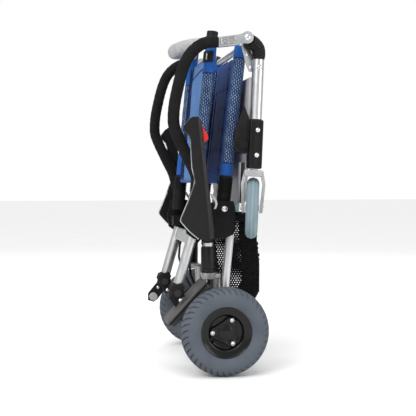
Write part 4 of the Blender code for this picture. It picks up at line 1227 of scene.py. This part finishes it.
def basket():
    """The see-through net: two cheeks and a wrap of one strip, with corded edges and a hem."""
    low_x = min(x for x, _ in BASKET)
    low_z = min(z for _, z in BASKET)
    tall = 0.248
    shapes = []
    for sign in (1, -1):
        def cheek(u, v, sign=sign):
            x, z = low_x + u, low_z + v
            bulge = 0.004 * hump(v / tall) * hump(u / 0.148)
            return spot(x, sign * (BASKET_HALF + 0.0012 - 0.004 + bulge), z)

        shapes.append(net(cheek, lambda u, v: in_outline(low_x + u, low_z + v, BASKET), 0.15, tall))
    lengths = [0.0]
    for (x1, z1), (x2, z2) in zip(BASKET, BASKET[1:]):
        lengths.append(lengths[-1] + math.hypot(x2 - x1, z2 - z1))
    xs, zs = [x for x, _ in BASKET], [z for _, z in BASKET]

    def wrap(u, v):
        v = min(max(v, 0.0), lengths[-1])
        x, z = np.interp(v, lengths, xs), np.interp(v, lengths, zs)
        sag = 0.006 * hump(u / (2 * BASKET_HALF))
        near = min(abs(v - mark) for mark in lengths[1:3])
        sag *= min(1, near / 0.06)
        inward = Vector((0, 0, 1))
        if abs(z - 0.2) > 0.01:
            inward = Vector((0.5 * (low_x + 0.148) + 0.07 - x, 0, 0)).normalized()
        return spot(x, -BASKET_HALF + min(max(u, 0), 2 * BASKET_HALF), z) + inward * (0.002 + sag)

    across, along = 2 * BASKET_HALF, lengths[-1]
    shapes.append(net(wrap, lambda u, v: 0 < u < across and 0 < v < along, across, along))
    whole = bmesh.new()
    for shape in shapes:
        flat = bpy.data.meshes.new("net_part")
        shape.to_mesh(flat)
        shape.free()
        whole.from_mesh(flat)
        bpy.data.meshes.remove(flat)
    mesh = bpy.data.meshes.new("basket_net")
    whole.to_mesh(mesh)
    whole.free()
    piece = shown("basket_net", mesh, "mesh_black", "chassis", ["under_seat_basket"])
    cords = piece.modifiers.new("cords", "WIREFRAME")
    cords.thickness = NET_CORD
    cords.use_boundary = True
    cords.use_even_offset = False
    dense = piece.vertex_groups.new(name="dense")
    for vertex in mesh.vertices:
        share = (vertex.co.x - spot(0.04, 0, 0).x) / 0.024
        dense.add([vertex.index], 0.25 + 0.75 * min(1, max(0, share)), "REPLACE")
    cords.vertex_group = "dense"
    cords.thickness_vertex_group = 0.35
    seams = []
    for sign in (1, -1):
        y = sign * (BASKET_HALF - 0.0015)
        path = spread([spot(x, y, z) for x, z in BASKET], 90)
        seams.append(cord("edge", path, 0.0022, 10))
    for x, z in (BASKET[1], BASKET[2], BASKET[3]):
        path = spread([spot(x, -BASKET_HALF, z), spot(x, BASKET_HALF, z)], 20)
        seams.append(cord("edge", path, 0.002, 10, (0, 0, 1)))
    joined("basket_seams", seams, "webbing", "chassis", "mesh_black")
    rim = [(0.0112, -BASKET_HALF), (0.0112, BASKET_HALF), (0.141, BASKET_HALF), (0.141, -BASKET_HALF)]
    rings = []
    for height, out in ((0.447, -0.001), (0.4476, 0.001), (0.44, 0.0014), (0.43, 0.0012), (0.4296, -0.001)):
        lean = (0.448 - height) * 0.1
        ring = []
        for x, y in rim:
            out_x, out_y = (out if x > 0.05 else -out), (out if y > 0 else -out)
            ring.append(spot(x + out_x + lean, y + out_y, height))
        rings.append(ring)
    shown("basket_hem", skin("basket_hem", rings + rings[:1], caps=False, angle=30), "webbing", "chassis", (),
          "mesh_black")


# ---- the rest of the front frame


def boards():
    """The calf panel and the footplate, with the footplate's ribs."""
    rounded("calf_panel", 0.0022)
    rounded("footplate", 0.0022)
    start, end = centre_line("front_leg_right")
    way = (end - start).normalized()
    ribs = []
    hinge = PIVOT["footplate_flip"]
    for number in range(9):
        at = hinge + way * (0.156 + number * 0.0085) + Vector((0.0106, 0, 0))
        path = spread([at + Vector((0, -0.125, 0)), at + Vector((0, 0.125, 0))], 12)
        ribs.append(cord("rib", path, 0.0014, 10, (0, 0, 1)))
    joined("footplate_ribs", ribs, "cover_plastic", "footplate", "grey_panel")


def small_parts():
    for side, _ in SIDES:
        rounded(f"release_tab_{side}", 0.0012)
        rounded(f"lock_hook_{side}", 0.001, "light_plastic")


# ---- studio

CAMERA_AT = (-0.445, -2.6485, 0.555)
CAMERA_TURN = math.radians(9.9)
CAMERA_DIP = math.radians(1.9)
CAMERA_LENS = 75.4


def room():
    """A white backdrop that lights the chair less than it looks, so metal and gloss keep some contrast."""
    world = bpy.data.worlds.new("studio")
    world.use_nodes = True
    tree = world.node_tree
    seen, glow = tree.nodes["Background"], tree.nodes.new("ShaderNodeBackground")
    seen.inputs["Color"].default_value = glow.inputs["Color"].default_value = (1, 1, 1, 1)
    seen.inputs["Strength"].default_value = 1.0
    glow.inputs["Strength"].default_value = 0.62
    rays, choice = tree.nodes.new("ShaderNodeLightPath"), tree.nodes.new("ShaderNodeMixShader")
    tree.links.new(rays.outputs["Is Camera Ray"], choice.inputs[0])
    tree.links.new(glow.outputs[0], choice.inputs[1])
    tree.links.new(seen.outputs[0], choice.inputs[2])
    tree.links.new(choice.outputs[0], tree.nodes["World Output"].inputs["Surface"])
    return world


def studio():
    bpy.ops.mesh.primitive_plane_add(size=40, location=(0, 0, 0))
    floor = bpy.context.object
    floor.name = "floor"
    paint = Surface("floor_paint", (0.86, 0.86, 0.86), 0.75)
    floor.data.materials.append(paint.mottled(0.01, 3).material)
    for name, at, size, power in (
        ("key", (-1.8, -2.4, 2.4), 1.4, 46),
        ("fill", (2.4, -2.2, 1.2), 1.6, 26),
        ("back", (0.6, 2.6, 2.4), 2.0, 24),
        ("top", (0.0, 0.0, 3.2), 2.4, 16),
    ):
        light = bpy.data.lights.new(name, "AREA")
        light.size = size
        light.energy = power
        lamp = bpy.data.objects.new(name, light)
        bpy.context.scene.collection.objects.link(lamp)
        lamp.location = at
        lamp.rotation_euler = (Vector((0, 0, 0.5)) - Vector(at)).to_track_quat("-Z", "Y").to_euler()
    sun = bpy.data.lights.new("sky", "SUN")
    sun.energy = 1.6
    sun.angle = math.radians(70)
    lamp = bpy.data.objects.new("sky", sun)
    bpy.context.scene.collection.objects.link(lamp)
    lamp.rotation_euler = (math.radians(22), math.radians(-24), 0)
    bpy.context.scene.world = room()
    bpy.context.scene.view_settings.view_transform = "Standard"
    camera = bpy.data.objects.new("camera", bpy.data.cameras.new("camera"))
    bpy.context.scene.collection.objects.link(camera)
    camera.data.lens = CAMERA_LENS
    camera.location = CAMERA_AT
    level = math.cos(CAMERA_DIP)
    ahead = Vector((math.sin(CAMERA_TURN) * level, math.cos(CAMERA_TURN) * level, -math.sin(CAMERA_DIP)))
    camera.rotation_euler = ahead.to_track_quat("-Z", "Y").to_euler()
    bpy.context.scene.camera = camera


# ---- everything

studio()
chassis()
battery()
motor_cables()
basket()
seat()
backrest()
push_handle()
boards()
small_parts()
for side, sign in SIDES:
    drive_wheel(side, sign)
    caster_wheel(side)
    caster_fork(side)
    caster_housing(side, sign)
    front_leg(side, sign)
    leg_elbow(side, sign)
    arm_loop(side, sign)
    arm_bar(side, sign)
    side_panel(side, sign)
    casting(side, sign)
